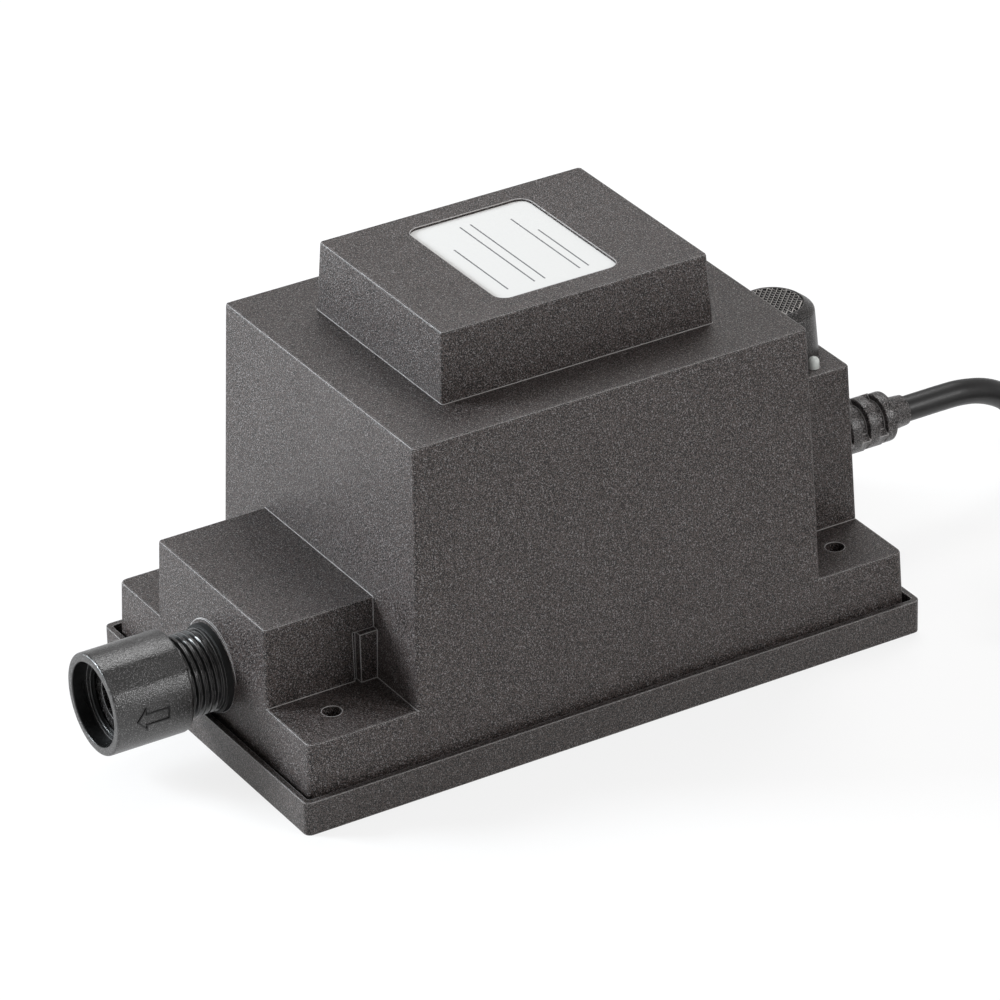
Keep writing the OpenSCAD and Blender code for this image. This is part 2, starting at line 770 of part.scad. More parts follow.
module mains_terminal() {
    color("#3f6f9f")
        translate([board_x - board_l / 2 + terminal_in, terminal_y, board_z - terminal[2]]) difference() {
            cube(terminal);
            for (y = [-terminal_pitch / 2, terminal_pitch / 2])
                translate([-over, terminal[1] / 2 + y, terminal_z]) rotate([0, 90, 0])
                    cylinder(d = terminal_way, h = terminal[0] + 2 * over);
        }
}

module relay() {
    color("#202a52")
        translate([board_x + board_l / 2 - relay_in - relay_size[0], relay_y, board_z - relay_size[2]])
        cube(relay_size);
}

module smoothing_capacitor() {
    color("#26262c") translate([board_x + board_l / 2 - capacitor_in, capacitor_y, board_z - capacitor_h])
        cylinder(d = capacitor_d, h = capacitor_h);
}

module photocell() {
    top = lens_z - lens_t - cell_gap;
    color("#c08a4a") union() {
        translate([sensor_x, sensor_y, top - cell_t]) cylinder(d = cell_d, h = cell_t);
        for (y = [-cell_lead_gap / 2, cell_lead_gap / 2])
            translate([sensor_x, sensor_y + y, board_z + board_t])
                cylinder(d = cell_lead, h = top - cell_t / 2 - board_z - board_t);
    }
}

module sensor_collar() {
    r0 = collar_d / 2;
    r1 = r0 - collar_step;
    rl = lens_d / 2;
    seat = lens_z - mains_top - lens_t;
    color("#3d3a38") translate([sensor_x, sensor_y, mains_top]) rotate_extrude()
        polygon([[r0 - collar_wall - collar_ledge, collar_foot], [r0 - collar_wall, collar_foot],
            [r0 - collar_wall, 0], [r0, 0], [r1 + fit, collar_h - collar_bevel],
            [r1 - collar_bevel, collar_h], [rl + fit, collar_h + shoulder_h],
            [rl + fit, seat - fit], [rl - lens_lip, seat - fit],
            [r1 - collar_wall - lens_lip, seat - collar_ledge],
            [r0 - collar_wall - collar_ledge, collar_foot + collar_ledge]]);
}

module sensor_seal() {
    r = collar_d / 2 - collar_wall - fit;
    color("#101010") translate([sensor_x, sensor_y, mains_top]) difference() {
        cylinder(r = r, h = collar_foot);
        translate([0, 0, -over]) cylinder(r = r - sensor_seal_w, h = collar_foot + 2 * over);
    }
}

module sensor_lens() {
    color("#2f2c2b") translate([sensor_x, sensor_y, lens_z - lens_t]) union() {
        cylinder(d = lens_d, h = lens_t - lens_bevel);
        cylinder(d = lens_d - 2 * lens_bevel, h = lens_t);
    }
}

module indicator_led() {
    top = mains_top - wall;
    color("white") translate([led_x, led_y, 0]) union() {
        translate([0, 0, top]) cylinder(d = led_d, h = wall + led_dome - led_d / 2);
        translate([0, 0, mains_top + led_dome - led_d / 2]) sphere(d = led_d, $fn = corner_facets);
        for (y = [-led_lead_gap / 2, led_lead_gap / 2])
            translate([-led_lead / 2, y - led_lead / 2, board_z + board_t])
                cube([led_lead, led_lead, top - board_z - board_t]);
        translate([0, 0, top - led_foot]) cylinder(d = led_d + 2 * fit, h = led_foot - fit);
    }
}

module strain_relief() {
    foot = mains_face_x - wall;
    ring_tip = relief_tip - sleeve_l;
    ring_p = (relief_l - sleeve_l) / relief_rings;
    color("#191919") difference() {
        union() {
            rod(foot - flange_t, foot, 0, cord_z, relief_in_d);
            rod(foot, mains_face_x + fit, 0, cord_z, relief_hole_d);
            rod(mains_face_x + fit, mains_face_x + flange_t, 0, cord_z, relief_foot_d);
            rod(mains_face_x + flange_t, ring_tip, 0, cord_z, relief_core_d);
            translate([ring_tip - over, 0, cord_z]) rotate([0, 90, 0])
                cylinder(h = sleeve_l + over, d1 = sleeve_d, d2 = sleeve_tip_d);
            for (i = [1:relief_rings]) {
                d = relief_d + (relief_tip_d - relief_d) * i / relief_rings;
                x = mains_face_x + i * ring_p;
                rod(x - ring_w, x, 0, cord_z, d);
                if (i > 1) intersection() {
                    rod(x - ring_p - over, x - ring_w + over, 0, cord_z, d);
                    translate([x - ring_p - over, 0, cord_z]) rotate([i % 2 * 90, 0, 0])
                        translate([0, -d, -d * bridge_share]) cube([ring_p, 2 * d, 2 * d * bridge_share]);
                }
            }
        }
        rod(foot - flange_t - over, relief_tip + over, 0, cord_z, cord_d + fit);
    }
}

module relief_clamp() {
    x = mains_face_x - wall - flange_t - clamp_t;
    color("#8f9193") difference() {
        translate([x, -clamp_w / 2, cord_z - clamp_h / 2]) cube([clamp_t, clamp_w, clamp_h]);
        rod(x - over, x + clamp_t + over, 0, cord_z, cord_d + fit);
    }
}

// Frames along a route: each point with its unit tangent
function unit(v) = v / norm(v);
function tangent(p, i) = unit(p[min(i + 1, len(p) - 1)] - p[max(i - 1, 0)]);
function side(t) = unit(cross([0, 0, 1], t));
function ring_at(p, i, r, n) = let (u = side(tangent(p, i)), v = cross(tangent(p, i), u))
    [for (k = [0:n - 1]) let (a = 360 * (k + 1 / 2) / n) p[i] + r * (cos(a) * u + sin(a) * v)];

// Closed tube along the points of a route
module tube(p, r, n) {
    m = len(p) - 1;
    pts = [for (i = [0:m]) each ring_at(p, i, r, n)];
    walls = [for (i = [0:m - 1], k = [0:n - 1]) let (a = i * n + k, b = i * n + (k + 1) % n)
        each [[b + n, b, a], [a + n, b + n, a]]];
    foot = [for (k = [0:n - 1]) k];
    tip = [for (k = [n - 1:-1:0]) m * n + k];
    polyhedron(pts, concat(walls, [foot, tip]), convexity = 6);
}

// Soft step from nothing to one
function smooth(t) = let (s = min(1, max(0, t))) s * s * (3 - 2 * s);

module cord_run() {
    start = [relief_tip - relief_l - wall - flange_t - cord_in, 0, cord_z];
    route = [for (p = run_points) [relief_tip + p[0], p[1], cord_z + (coil_z - cord_z) * p[2]]];
    color("#151515") tube(concat([start, [relief_tip, 0, cord_z]], route), cord_d / 2, cord_sides);
}

// Centre line of the coil: in on the first layer, up, and out on the second
coil_points = [for (i = [0:turn_steps * 2 * coil_turns]) let (t = i / turn_steps, a = 90 - 360 * t,
    r = coil_in_r + (cord_d + coil_gap) * abs(t - coil_turns),
    z = coil_z + layer_h * smooth(2 * (t - coil_turns) + 1 / 2))
    [coil_x + r * cos(a), run_side + r * sin(a) - coil_out_r, z]];
coil_last = coil_points[len(coil_points) - 1];

module cord_coil() {
    color("#151515")
        tube(concat([run_end], coil_points, [coil_last - [tail_l, 0, 0]]), cord_d / 2, coil_sides);
}

module cord_tie() {
    in_x = coil_x + coil_in_r - cord_d / 2 - tie_t;
    out_x = coil_x + coil_out_r + cord_d / 2 + tie_t;
    h = cord_d + layer_h;
    color("#333333") translate([0, run_side - coil_out_r - tie_w / 2, 0]) difference() {
        translate([in_x - tie_t, 0, 0]) cube([out_x - in_x + 2 * tie_t, tie_w, h + 2 * tie_t]);
        translate([in_x, -over, tie_t]) cube([out_x - in_x, tie_w + 2 * over, h]);
    }
}

module plug_body() {
    h = 2 * coil_last[2];
    color("#141414") translate(coil_last - [tail_l + plug_neck, 0, 0]) union() {
        rod(0, plug_neck, 0, 0, cord_d + 2 * neck_wall);
        translate([-plug_l, 0, 0]) intersection() {
            rod(0, plug_l, 0, 0, plug_w);
            translate([0, -plug_w / 2, -h / 2]) cube([plug_l, plug_w, h]);
        }
    }
}

module plug_pins() {
    r = plug_pin_d / 2;
    color("silver") translate(coil_last - [tail_l + plug_neck + plug_l + plug_pin_l, 0, 0])
        for (y = [-plug_pin_gap / 2, plug_pin_gap / 2]) {
            rod(r, plug_pin_l, y, 0, plug_pin_d);
            translate([r, y, 0]) sphere(r = r, $fn = corner_facets);
        }
}

base_tray();
base_gasket();
tray_screws();
housing_cover();
label_plate();
output_socket();
socket_seal();
socket_back_nut();
contact_carrier();
output_contacts();
clamp_ring();
coupling_nut();
core_e_stack();
core_i_stack();
core_bolts();
core_bracket();
bracket_screws();
bobbin();
bobbin_pins();
primary_winding();
secondary_winding();
winding_tape();
thermal_cutout();
control_board();
board_screws();
mains_terminal();
relay();
smoothing_capacitor();
photocell();
sensor_collar();
sensor_seal();
sensor_lens();
indicator_led();
strain_relief();
relief_clamp();
cord_run();
cord_coil();
cord_tie();
plug_body();
plug_pins();
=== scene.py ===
"""Looks of a garden lighting power supply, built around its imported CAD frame.

Lengths are millimetres where no line says metres, and MM turns them to metres.
"""

import math

import bmesh
import bpy
from bpy.props import FloatProperty, FloatVectorProperty, IntProperty, PointerProperty
from mathutils import Matrix, Vector


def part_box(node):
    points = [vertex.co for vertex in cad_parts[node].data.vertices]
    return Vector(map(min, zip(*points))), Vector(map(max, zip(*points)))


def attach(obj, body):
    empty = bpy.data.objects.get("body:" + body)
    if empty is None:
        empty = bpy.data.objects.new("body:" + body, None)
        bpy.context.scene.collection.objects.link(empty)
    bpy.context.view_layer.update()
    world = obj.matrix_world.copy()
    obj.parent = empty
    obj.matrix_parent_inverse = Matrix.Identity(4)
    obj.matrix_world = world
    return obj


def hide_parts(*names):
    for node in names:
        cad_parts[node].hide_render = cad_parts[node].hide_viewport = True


bl_info = {
    "name": "Garden lighting power supply",
    "version": (1, 0, 0),
    "blender": (4, 5, 0),
    "location": "3D View > Sidebar > Supply",
    "description": "Builds the pieces and finishes of a lighting power supply",
    "category": "Object",
}

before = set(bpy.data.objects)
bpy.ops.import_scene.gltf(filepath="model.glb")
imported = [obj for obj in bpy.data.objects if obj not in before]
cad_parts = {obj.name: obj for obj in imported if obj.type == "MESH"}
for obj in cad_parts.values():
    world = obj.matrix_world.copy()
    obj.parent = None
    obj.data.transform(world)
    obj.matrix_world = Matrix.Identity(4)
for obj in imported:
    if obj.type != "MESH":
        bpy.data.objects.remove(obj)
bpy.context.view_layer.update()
MM = 0.001
TURN = 2 * math.pi
HOUSING, NUT = "housing", "nut"


def linear(code):
    """An sRGB hex colour as the linear RGBA that shaders take."""
    parts = [int(code[i : i + 2], 16) / 255 for i in (1, 3, 5)]
    return [c / 12.92 if c <= 0.04045 else ((c + 0.055) / 1.055) ** 2.4 for c in parts] + [1.0]


def span(name):
    """The lowest and the highest corner of a CAD node."""
    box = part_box(name)
    return box[0] / MM, box[1] / MM


# Places that several pieces share, read from the frame
SOCKET_LOW, SOCKET_HIGH = span("output_socket")
SOCKET_Z = (SOCKET_LOW.z + SOCKET_HIGH.z) / 2
RELIEF_LOW, RELIEF_HIGH = span("strain_relief")
RELIEF_Z = (RELIEF_LOW.z + RELIEF_HIGH.z) / 2


# Sizes and colours


def length(name, text, value):
    """A length property in metres, from millimetres."""
    return FloatProperty(
        name=name, description=text, default=value * MM, min=0.0, subtype="DISTANCE", unit="LENGTH"
    )


def colour(name, text, code):
    """A colour property from a hex code."""
    return FloatVectorProperty(
        name=name, description=text, default=linear(code), size=4, min=0.0, max=1.0, subtype="COLOR"
    )


def power(name, text, value):
    """A lamp's power, in watts."""
    return FloatProperty(name=name, description=text, default=value, subtype="POWER")


class SUPPLY_PG_output(bpy.types.PropertyGroup):
    """Sizes of the threaded output socket and its coupling nut."""

    pitch: length("Thread pitch", "Advance of the thread in one turn", 1.8)
    crest: length("Thread height", "Height of the thread over its root", 0.9)
    nut_edge: length("Nut edge", "Rounding at the ends of the nut", 0.7)
    mark_height: length("Mark height", "Height of the moulded arrow on the nut", 0.3)


class SUPPLY_PG_sensor(bpy.types.PropertyGroup):
    """Sizes of the light sensor."""

    cell: length("Lens cell", "Spacing of the diamond pattern on the lens", 1.25)
    relief: length("Lens relief", "Depth of the diamond pattern", 0.4)


class SUPPLY_PG_cord(bpy.types.PropertyGroup):
    """Sizes of the mains cord, its stored coil and its strain relief."""

    diameter: length("Diameter", "Outer diameter of the round cord", 7)
    inner_radius: length("Coil radius", "Smallest radius of the coil's centre line", 29)
    gap: length("Gap", "Space between neighbouring turns", 0.6)
    turns: FloatProperty(name="Turns", description="Turns in each of the two layers", default=2.75, min=0.75)
    rings: IntProperty(name="Rings", description="Rings of the strain relief", default=5, min=2)
    relief: length("Strain relief", "Length of the strain relief outside the housing", 34)
    sleeve: length("Sleeve", "Plain sleeve beyond the last ring", 6)


class SUPPLY_PG_finish(bpy.types.PropertyGroup):
    """Colours that a user would change."""

    housing: colour("Housing", "Moulded cover", "#312a28")
    tray: colour("Tray", "Moulded tray", "#302a28")
    nut: colour("Nut", "Coupling nut", "#151312")
    thread: colour("Thread", "Threaded socket", "#141414")
    cord: colour("Cord", "Jacket of the mains cord", "#1b1a1a")
    label: colour("Label", "Blank rating plate", "#d3d2d0")


class SUPPLY_PG_stage(bpy.types.PropertyGroup):
    """Floor and light round the object."""

    side: power("Side lamp", "Power of the lamp at the output end", 25.5)
    front: power("Front lamp", "Power of the lamp before the long side", 7.2)
    top: power("Top lamp", "Power of the lamp above", 9.5)
    floor: colour("Floor", "Studio floor", "#f4f4f4")


# Nodes and finishes


def fill(tree, node, values):
    """Sets a node's inputs, or links them to a socket or to another node's first live output."""
    for key, value in values.items():
        if isinstance(value, bpy.types.Node):
            value = next(socket for socket in value.outputs if socket.enabled)
        if isinstance(value, bpy.types.NodeSocket):
            tree.links.new(value, node.inputs[key])
        else:
            node.inputs[key].default_value = value


def add(tree, kind, inputs=None, **settings):
    """Adds a shader node by its short name, or another node by its full one, and fills it."""
    made = tree.nodes.new(kind if "Node" in kind else "ShaderNode" + kind)
    for key, value in settings.items():
        setattr(made, key, value)
    fill(tree, made, inputs or {})
    return made


def per(size):
    """Texture scale whose cell is that many millimetres."""
    return 1.0 / (size * MM)


def tint_of(code):
    """Linear RGBA of a hex colour, or of the user's colour with that name."""
    return linear(code) if code[0] == "#" else list(getattr(bpy.context.scene.supply_finish, code))


def shaded(base, factor):
    """The same linear colour, lighter or darker."""
    return [min(1.0, c * factor) for c in base[:3]] + [1.0]


def new_material(name):
    """An empty node material with its shader and its object coordinates."""
    material = bpy.data.materials.new(name)
    material.use_nodes = True
    tree = material.node_tree
    tree.nodes.clear()
    shader = add(tree, "BsdfPrincipled")
    add(tree, "OutputMaterial", {"Surface": shader})
    place = add(tree, "TexCoord").outputs["Object"]
    return material, tree, shader, place


def speckle(tree, place, base, grain, spread):
    """Colour that wanders round the base by the spread, at the grain's size."""
    # Turned, because noise fades on planes that lie along its own cells
    leaning = add(tree, "Mapping", {"Vector": place, "Rotation": (0.61, 0.47, 0.83)})
    noise = add(tree, "TexNoise", {"Vector": leaning, "Scale": per(grain), "Detail": 0.5})
    # The narrow ramp parts dark grains from pale ones
    ramp = add(tree, "ValToRGB", {"Fac": noise})
    dark, light = ramp.color_ramp.elements
    dark.position, light.position = 0.46, 0.54
    dark.color, light.color = shaded(base, 1 - spread), shaded(base, 1 + spread)
    return ramp, noise


# Painted edge highlights are this wide and this pale; painted glints are this large and this pale
EDGE_HIGHLIGHT_WIDTH, EDGE_HIGHLIGHT_TINT = 0.45, "#b2afae"
PAINTED_GLINT_CELL, PAINTED_GLINT_TINT = 0.32, "#a09d9d"


def painted_edge_highlights(tree, tint, share):
    """Paints a highlight as a thin pale line along edges, where moulded plastic is smoother and catches the
    light.
    """
    soft = add(tree, "Bevel", {"Radius": EDGE_HIGHLIGHT_WIDTH * MM}, samples=8)
    true = add(tree, "NewGeometry").outputs["Normal"]
    same = add(tree, "VectorMath", {0: soft, 1: true}, operation="DOT_PRODUCT")
    # The painted highlight starts where the softened normal leaves the true one by 10 degrees, and is full
    # at 23
    limits = {"Value": same, "From Min": 0.985, "From Max": 0.92, "To Min": 0.0, "To Max": share}
    mask = add(tree, "MapRange", limits)
    return add(tree, "Mix", {"Factor": mask, 6: tint, 7: linear(EDGE_HIGHLIGHT_TINT)}, data_type="RGBA"), mask


def painted_glints(tree, place, tint, share):
    """Painted glints: scattered bright points, where a face of the grain would throw the light back."""
    leaning = add(tree, "Mapping", {"Vector": place, "Rotation": (0.35, 0.8, 0.55)})
    spark = add(tree, "TexNoise", {"Vector": leaning, "Scale": per(PAINTED_GLINT_CELL), "Detail": 0.0})
    # Only the noise's highest peaks get the painted glint
    limits = {"Value": spark, "From Min": 0.62, "From Max": 0.68, "To Min": 0.0, "To Max": share}
    lit = add(tree, "MapRange", limits)
    return add(tree, "Mix", {"Factor": lit, 6: tint, 7: linear(PAINTED_GLINT_TINT)}, data_type="RGBA")


def plastic(name, base, grain, rough, depth, spread=0.12, level=0.5, coat=0.0, edge=0.0, glint=0.0):
    """Moulded polymer: a tool texture of that grain, slight wear in gloss, no metal."""
    material, tree, shader, place = new_material(name)
    tint, noise = speckle(tree, place, tint_of(base), grain, spread)
    # Handling leaves the gloss uneven over patches of about 18 mm
    handled = add(tree, "TexNoise", {"Vector": place, "Scale": per(18), "Detail": 3.0})
    limits = {"From Min": 0.3, "From Max": 0.7, "To Min": rough - 0.05, "To Max": rough + 0.05}
    shine = add(tree, "MapRange", {"Value": handled, **limits})
    # Painted glints on the grain
    if glint:
        tint = painted_glints(tree, place, tint, glint)
    # Painted highlights along the edges, where the gloss also rises
    if edge:
        tint, mask = painted_edge_highlights(tree, tint, edge)
        shine = add(tree, "Mix", {"Factor": mask, "A": shine, "B": rough / 2}, data_type="FLOAT")
    bump = add(tree, "Bump", {"Height": noise, "Strength": 0.6, "Distance": depth * MM})
    fill(tree, shader, {"Base Color": tint, "Roughness": shine, "Normal": bump})
    fill(tree, shader, {"Specular IOR Level": level, "Coat Weight": coat})
    return material


def metal(name, base, grain, rough, depth, stretch=(1, 1, 1)):
    """Bare or plated metal: full metallic, with machining or plating marks."""
    material, tree, shader, place = new_material(name)
    drawn = add(tree, "Mapping", {"Vector": place, "Scale": stretch})
    tint, noise = speckle(tree, drawn, linear(base), grain, 0.1)
    gloss = add(tree, "MapRange", {"Value": noise, "To Min": rough - 0.08, "To Max": rough + 0.08})
    bump = add(tree, "Bump", {"Height": noise, "Strength": 0.4, "Distance": depth * MM})
    fill(tree, shader, {"Base Color": tint, "Roughness": gloss, "Normal": bump, "Metallic": 1.0})
    return material


def banded(name, light, dark, spacing, axis, rough, metallic, depth):
    """Layers across one axis, such as stacked sheet or laps of tape."""
    material, tree, shader, place = new_material(name)
    # At scale 1 the wave texture's bands lie pi / 10 apart
    scale = per(spacing) * math.pi / 10
    inputs = {"Vector": place, "Scale": scale, "Distortion": 0.3, "Detail": 1.0, "Detail Scale": 2.0}
    wave = add(tree, "TexWave", inputs, bands_direction=axis).outputs["Fac"]
    tint = add(tree, "ValToRGB", {"Fac": wave})
    tint.color_ramp.elements[0].color, tint.color_ramp.elements[1].color = linear(dark), linear(light)
    bump = add(tree, "Bump", {"Height": wave, "Strength": 0.5, "Distance": depth * MM})
    fill(tree, shader, {"Base Color": tint, "Normal": bump, "Roughness": rough, "Metallic": metallic})
    return material


def diamond_film(name, base, line, width):
    """Smoked plastic whose upper side has painted highlights as paler lines in two crossing rows, a lens
    cell apart.
    """
    material, tree, shader, place = new_material(name)
    axes = add(tree, "SeparateXYZ", {"Vector": place}).outputs
    half_row = bpy.context.scene.supply_sensor.cell * math.sqrt(2) / 2
    rows = []
    for kind in ("ADD", "SUBTRACT"):
        slope = add(tree, "Math", {0: axes["X"], 1: axes["Y"]}, operation=kind)
        step = add(tree, "Math", {0: slope, 1: half_row}, operation="PINGPONG")
        rows.append(add(tree, "Math", {0: step, 1: width * MM}, operation="LESS_THAN"))
    # Only faces turned up get the painted highlights
    normal = add(tree, "NewGeometry").outputs["Normal"]
    facing = add(tree, "SeparateXYZ", {"Vector": normal}).outputs["Z"]
    lined = add(tree, "Math", dict(enumerate(rows)), operation="MAXIMUM")
    upper = add(tree, "Math", {0: facing, 1: 0.6}, operation="GREATER_THAN")
    painted_highlight_rows = add(tree, "Math", {0: lined, 1: upper}, operation="MULTIPLY")
    tint = add(tree, "Mix", {"Factor": painted_highlight_rows, 6: linear(base), 7: linear(line)}, data_type="RGBA")
    fill(tree, shader, {"Base Color": tint, "Roughness": 0.34, "Specular IOR Level": 0.22})
    return material


# Ruled lines of the plate: place across it, start and end along it
RULES = ((11.2, -18, 6), (8.6, -18, 15), (-1.5, -18, 18), (-4.5, -18, 18), (-12.2, -18, 8))
RULE_HALF = 0.22


def label_film(name, base, ink):
    """Pale film with thin ruled lines."""
    material, tree, shader, place = new_material(name)
    low, high = span("label_plate")
    middle = (low + high) / 2 * MM
    centred = add(tree, "Mapping", {"Vector": place, "Location": [-middle.x, -middle.y, 0]})
    axes = add(tree, "SeparateXYZ", {"Vector": centred}).outputs
    printed = 0.0
    for across, start, end in RULES:
        within = []
        for axis, centre, half in (("X", across, RULE_HALF), ("Y", (start + end) / 2, (end - start) / 2)):
            limits = {0: axes[axis], 1: centre * MM, 2: half * MM}
            within.append(add(tree, "Math", limits, operation="COMPARE"))
        rule = add(tree, "Math", dict(enumerate(within)), operation="MULTIPLY")
        printed = add(tree, "Math", {0: printed, 1: rule}, operation="MAXIMUM")
    fibre = add(tree, "TexNoise", {"Vector": place, "Scale": per(0.7), "Detail": 3.0})
    blank = {"Factor": fibre, 6: shaded(tint_of(base), 0.95), 7: tint_of(base)}
    film = add(tree, "Mix", blank, data_type="RGBA")
    tint = add(tree, "Mix", {"Factor": printed, 6: film, 7: linear(ink)}, data_type="RGBA")
    fill(tree, shader, {"Base Color": tint, "Roughness": 0.58, "Specular IOR Level": 0.3})
    return material


# After its name and colour, a plastic or a metal gives its grain, its roughness and its texture's depth.
# Grit finer than 0.3 mm is drawn at about 0.3, the finest that shows in the render.
RECIPES = {
    # Spark-eroded PC-ABS: matt charcoal with a few painted glints; its 0.1 mm grit is drawn as 0.31
    "cover": lambda: plastic(
        "spark_textured_pc_abs", "housing", 0.31, 0.45, 0.2, spread=0.97, level=0.4, edge=1.0, glint=0.4
    ),
    # The same resin from a second tool: a little smoother, with fewer painted glints
    "tray": lambda: plastic(
        "moulded_pc_abs_tray", "tray", 0.31, 0.42, 0.18, spread=0.95, level=0.4, edge=1.0, glint=0.3
    ),
    # Glass-filled nylon from a blasted tool: black satin, its broad highlight broken by fine pits and
    # painted glints
    "nut": lambda: plastic(
        "satin_nylon_66", "nut", 0.3, 0.31, 0.18, spread=0.95, level=0.85, edge=0.6, glint=0.26
    ),
    # PC-ABS of the sensor's collar: darker and slightly glossier than the cover, with the same grit
    "collar": lambda: plastic(
        "textured_pc_abs_collar", "#262322", 0.32, 0.38, 0.16, spread=0.95, edge=1.0, glint=0.3
    ),
    # Nylon from a polished tool: deeper black and a tight highlight on each crest
    "thread": lambda: plastic("gloss_nylon_66", "thread", 0.34, 0.3, 0.03, spread=0.3, edge=0.35),
    # Raised lines of the nut's nylon: smooth, and painted near black as the shade along them, so that they
    # stand out from the satin
    "mark": lambda: plastic("raised_mark", "#070606", 0.4, 0.3, 0.02, spread=0.1),
    # Moulded EPDM rubber: dull, even black
    "rubber": lambda: plastic("moulded_epdm_rubber", "#161616", 0.5, 0.62, 0.03, spread=0.15, level=0.4),
    # Flexible PVC: soft gloss of a drawn jacket
    "cord": lambda: plastic("extruded_pvc_jacket", "cord", 1.1, 0.4, 0.02, spread=0.1),
    # PVC moulded over the cord in a blasted tool: dark grey with painted glints on the grain
    "moulded_pvc": lambda: plastic(
        "overmoulded_pvc", "#353130", 0.36, 0.36, 0.2, spread=0.97, level=0.6, edge=0.9, glint=0.45
    ),
    # Moulded smoked polycarbonate: near black, its points outlined in painted highlights where they would
    # catch the light
    "lens": lambda: diamond_film("smoked_polycarbonate", "#050404", "#aeaaa7", 0.15),
    # Diffused epoxy of a lamp: milky white, glossy dome
    "lamp": lambda: plastic("diffused_epoxy_lamp", "#c3c6c2", 1.2, 0.14, 0.004, spread=0.03),
    # Zinc-plated steel: bluish bright, lightly streaked
    "zinc": lambda: metal("zinc_plated_steel", "#b9bdc1", 1.5, 0.3, 0.01),
    # Hot-dip galvanised strip: dull grey with broad crystals
    "strip": lambda: metal("galvanised_strip", "#9a9ea1", 4.0, 0.42, 0.02),
    # Nickel-plated brass pins: warm bright metal turned on a lathe
    "nickel": lambda: metal("nickel_plated_brass", "#c9c3b4", 0.5, 0.22, 0.006, (6, 1, 1)),
    # Drawn brass contacts: yellow metal with streaks along them
    "brass": lambda: metal("drawn_brass", "#c79f52", 0.6, 0.28, 0.006, (1, 4, 4)),
    # Stacked silicon steel: bluish edges of 0.5 mm sheet, drawn as 0.8
    "laminations": lambda: banded("stacked_silicon_steel", "#7f7c78", "#3d3b3a", 0.8, "Y", 0.45, 0.8, 0.05),
    # Enamelled copper: clear varnish over red metal
    "copper": lambda: metal("enamelled_copper_wire", "#b06030", 0.8, 0.24, 0.004),
    # Glass-filled nylon in its natural colour: cream with faint fibre
    "bobbin": lambda: plastic("natural_glass_nylon", "#d8d4c4", 1.4, 0.48, 0.02, spread=0.06),
    # Polyester tape: yellow, glossy, with lap lines
    "tape": lambda: banded("polyester_tape", "#e4c846", "#c9a92c", 9.0, "Z", 0.3, 0.0, 0.05),
    # Epoxy glass board under green solder mask: glossy, with the weave just showing
    "board": lambda: plastic("solder_masked_epoxy_glass", "#1f5a34", 2.4, 0.28, 0.02, spread=0.3, coat=0.3),
    # Moulded nylon of a wire terminal: clear blue with a soft gloss
    "terminal": lambda: plastic("blue_nylon_terminal", "#3f6f9f", 0.7, 0.42, 0.02),
    # Thermoset case of a sealed relay: dark blue, half glossy
    "relay": lambda: plastic("sealed_relay_case", "#202a52", 0.9, 0.36, 0.01),
    # Shrunk PVC sleeve of a capacitor: smooth, glossy and nearly black
    "sleeve": lambda: plastic("shrunk_pvc_sleeve", "#26262c", 1.6, 0.3, 0.01),
    # Pressed ceramic of the light cell: warm and dull
    "ceramic": lambda: plastic("pressed_ceramic", "#c0935c", 0.6, 0.5, 0.02, spread=0.15),
    # Phenolic case of the thermal cut-out: pale and matt
    "cutout": lambda: plastic("phenolic_cutout_case", "#c9c9c2", 0.8, 0.45, 0.02),
    # Moulded PBT of the contact carrier: plain grey with a soft gloss
    "carrier": lambda: plastic("grey_pbt_carrier", "#8c8a80", 0.7, 0.44, 0.02),
    # White polyester film: satin and even, with thin grey print
    "label": lambda: label_film("printed_polyester_film", "label", "#6a6a6c"),
}
FINISHES = {}


def finish_of(key):
    """Makes each finish once."""
    if key not in FINISHES:
        FINISHES[key] = RECIPES[key]()
    return FINISHES[key]


def dress(**finishes):
    """Gives CAD nodes their finishes; their meshes stay as they are."""
    for node, key in finishes.items():
        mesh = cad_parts[node].data
        mesh.materials.clear()
        mesh.materials.append(finish_of(key))


# Meshes


def linked(name, data):
    """An object of that mesh, curve, lamp or camera, linked to the scene."""
    piece = bpy.data.objects.new(name, data)
    bpy.context.scene.collection.objects.link(piece)
    return piece


def mesh_object(name, made, key, smooth):
    """Turns a bmesh into an object at the origin, sharp where faces meet at more than that angle."""
    mesh = bpy.data.meshes.new(name)
    made.to_mesh(mesh)
    made.free()
    mesh.materials.append(finish_of(key))
    mesh.shade_smooth()
    mesh.set_sharp_from_angle(angle=math.radians(smooth))
    return linked(name, mesh)


def mesh_piece(name, points, faces, key, smooth=35, doubles=0.001):
    """A closed piece from its points and faces, with its finish."""
    made = bmesh.new()
    corners = [made.verts.new(Vector(p) * MM) for p in points]
    for face in faces:
        if len(set(face)) > 2:
            made.faces.new([corners[i] for i in face])
    bmesh.ops.remove_doubles(made, verts=made.verts, dist=doubles * MM)
    bmesh.ops.dissolve_degenerate(made, edges=made.edges, dist=1e-8)
    bmesh.ops.recalc_face_normals(made, faces=made.faces)
    return mesh_object(name, made, key, smooth)


def rounded(corners, radii, steps=4):
    """A closed 2D outline whose corners are rounded by their radii."""
    out = []
    for i, corner in enumerate(corners):
        here = Vector(corner)
        before, after = Vector(corners[i - 1]) - here, Vector(corners[(i + 1) % len(corners)]) - here
        r = radii[i] if isinstance(radii, (list, tuple)) else radii
        if r <= 0:
            out.append(here)
            continue
        half = before.angle(after) / 2
        reach = min(r / math.tan(half), before.length * 0.49, after.length * 0.49)
        a, b = here + before.normalized() * reach, here + after.normalized() * reach
        for k in range(steps + 1):
            t = k / steps
            out.append(a * (1 - t) ** 2 + here * 2 * t * (1 - t) + b * t * t)
    return out


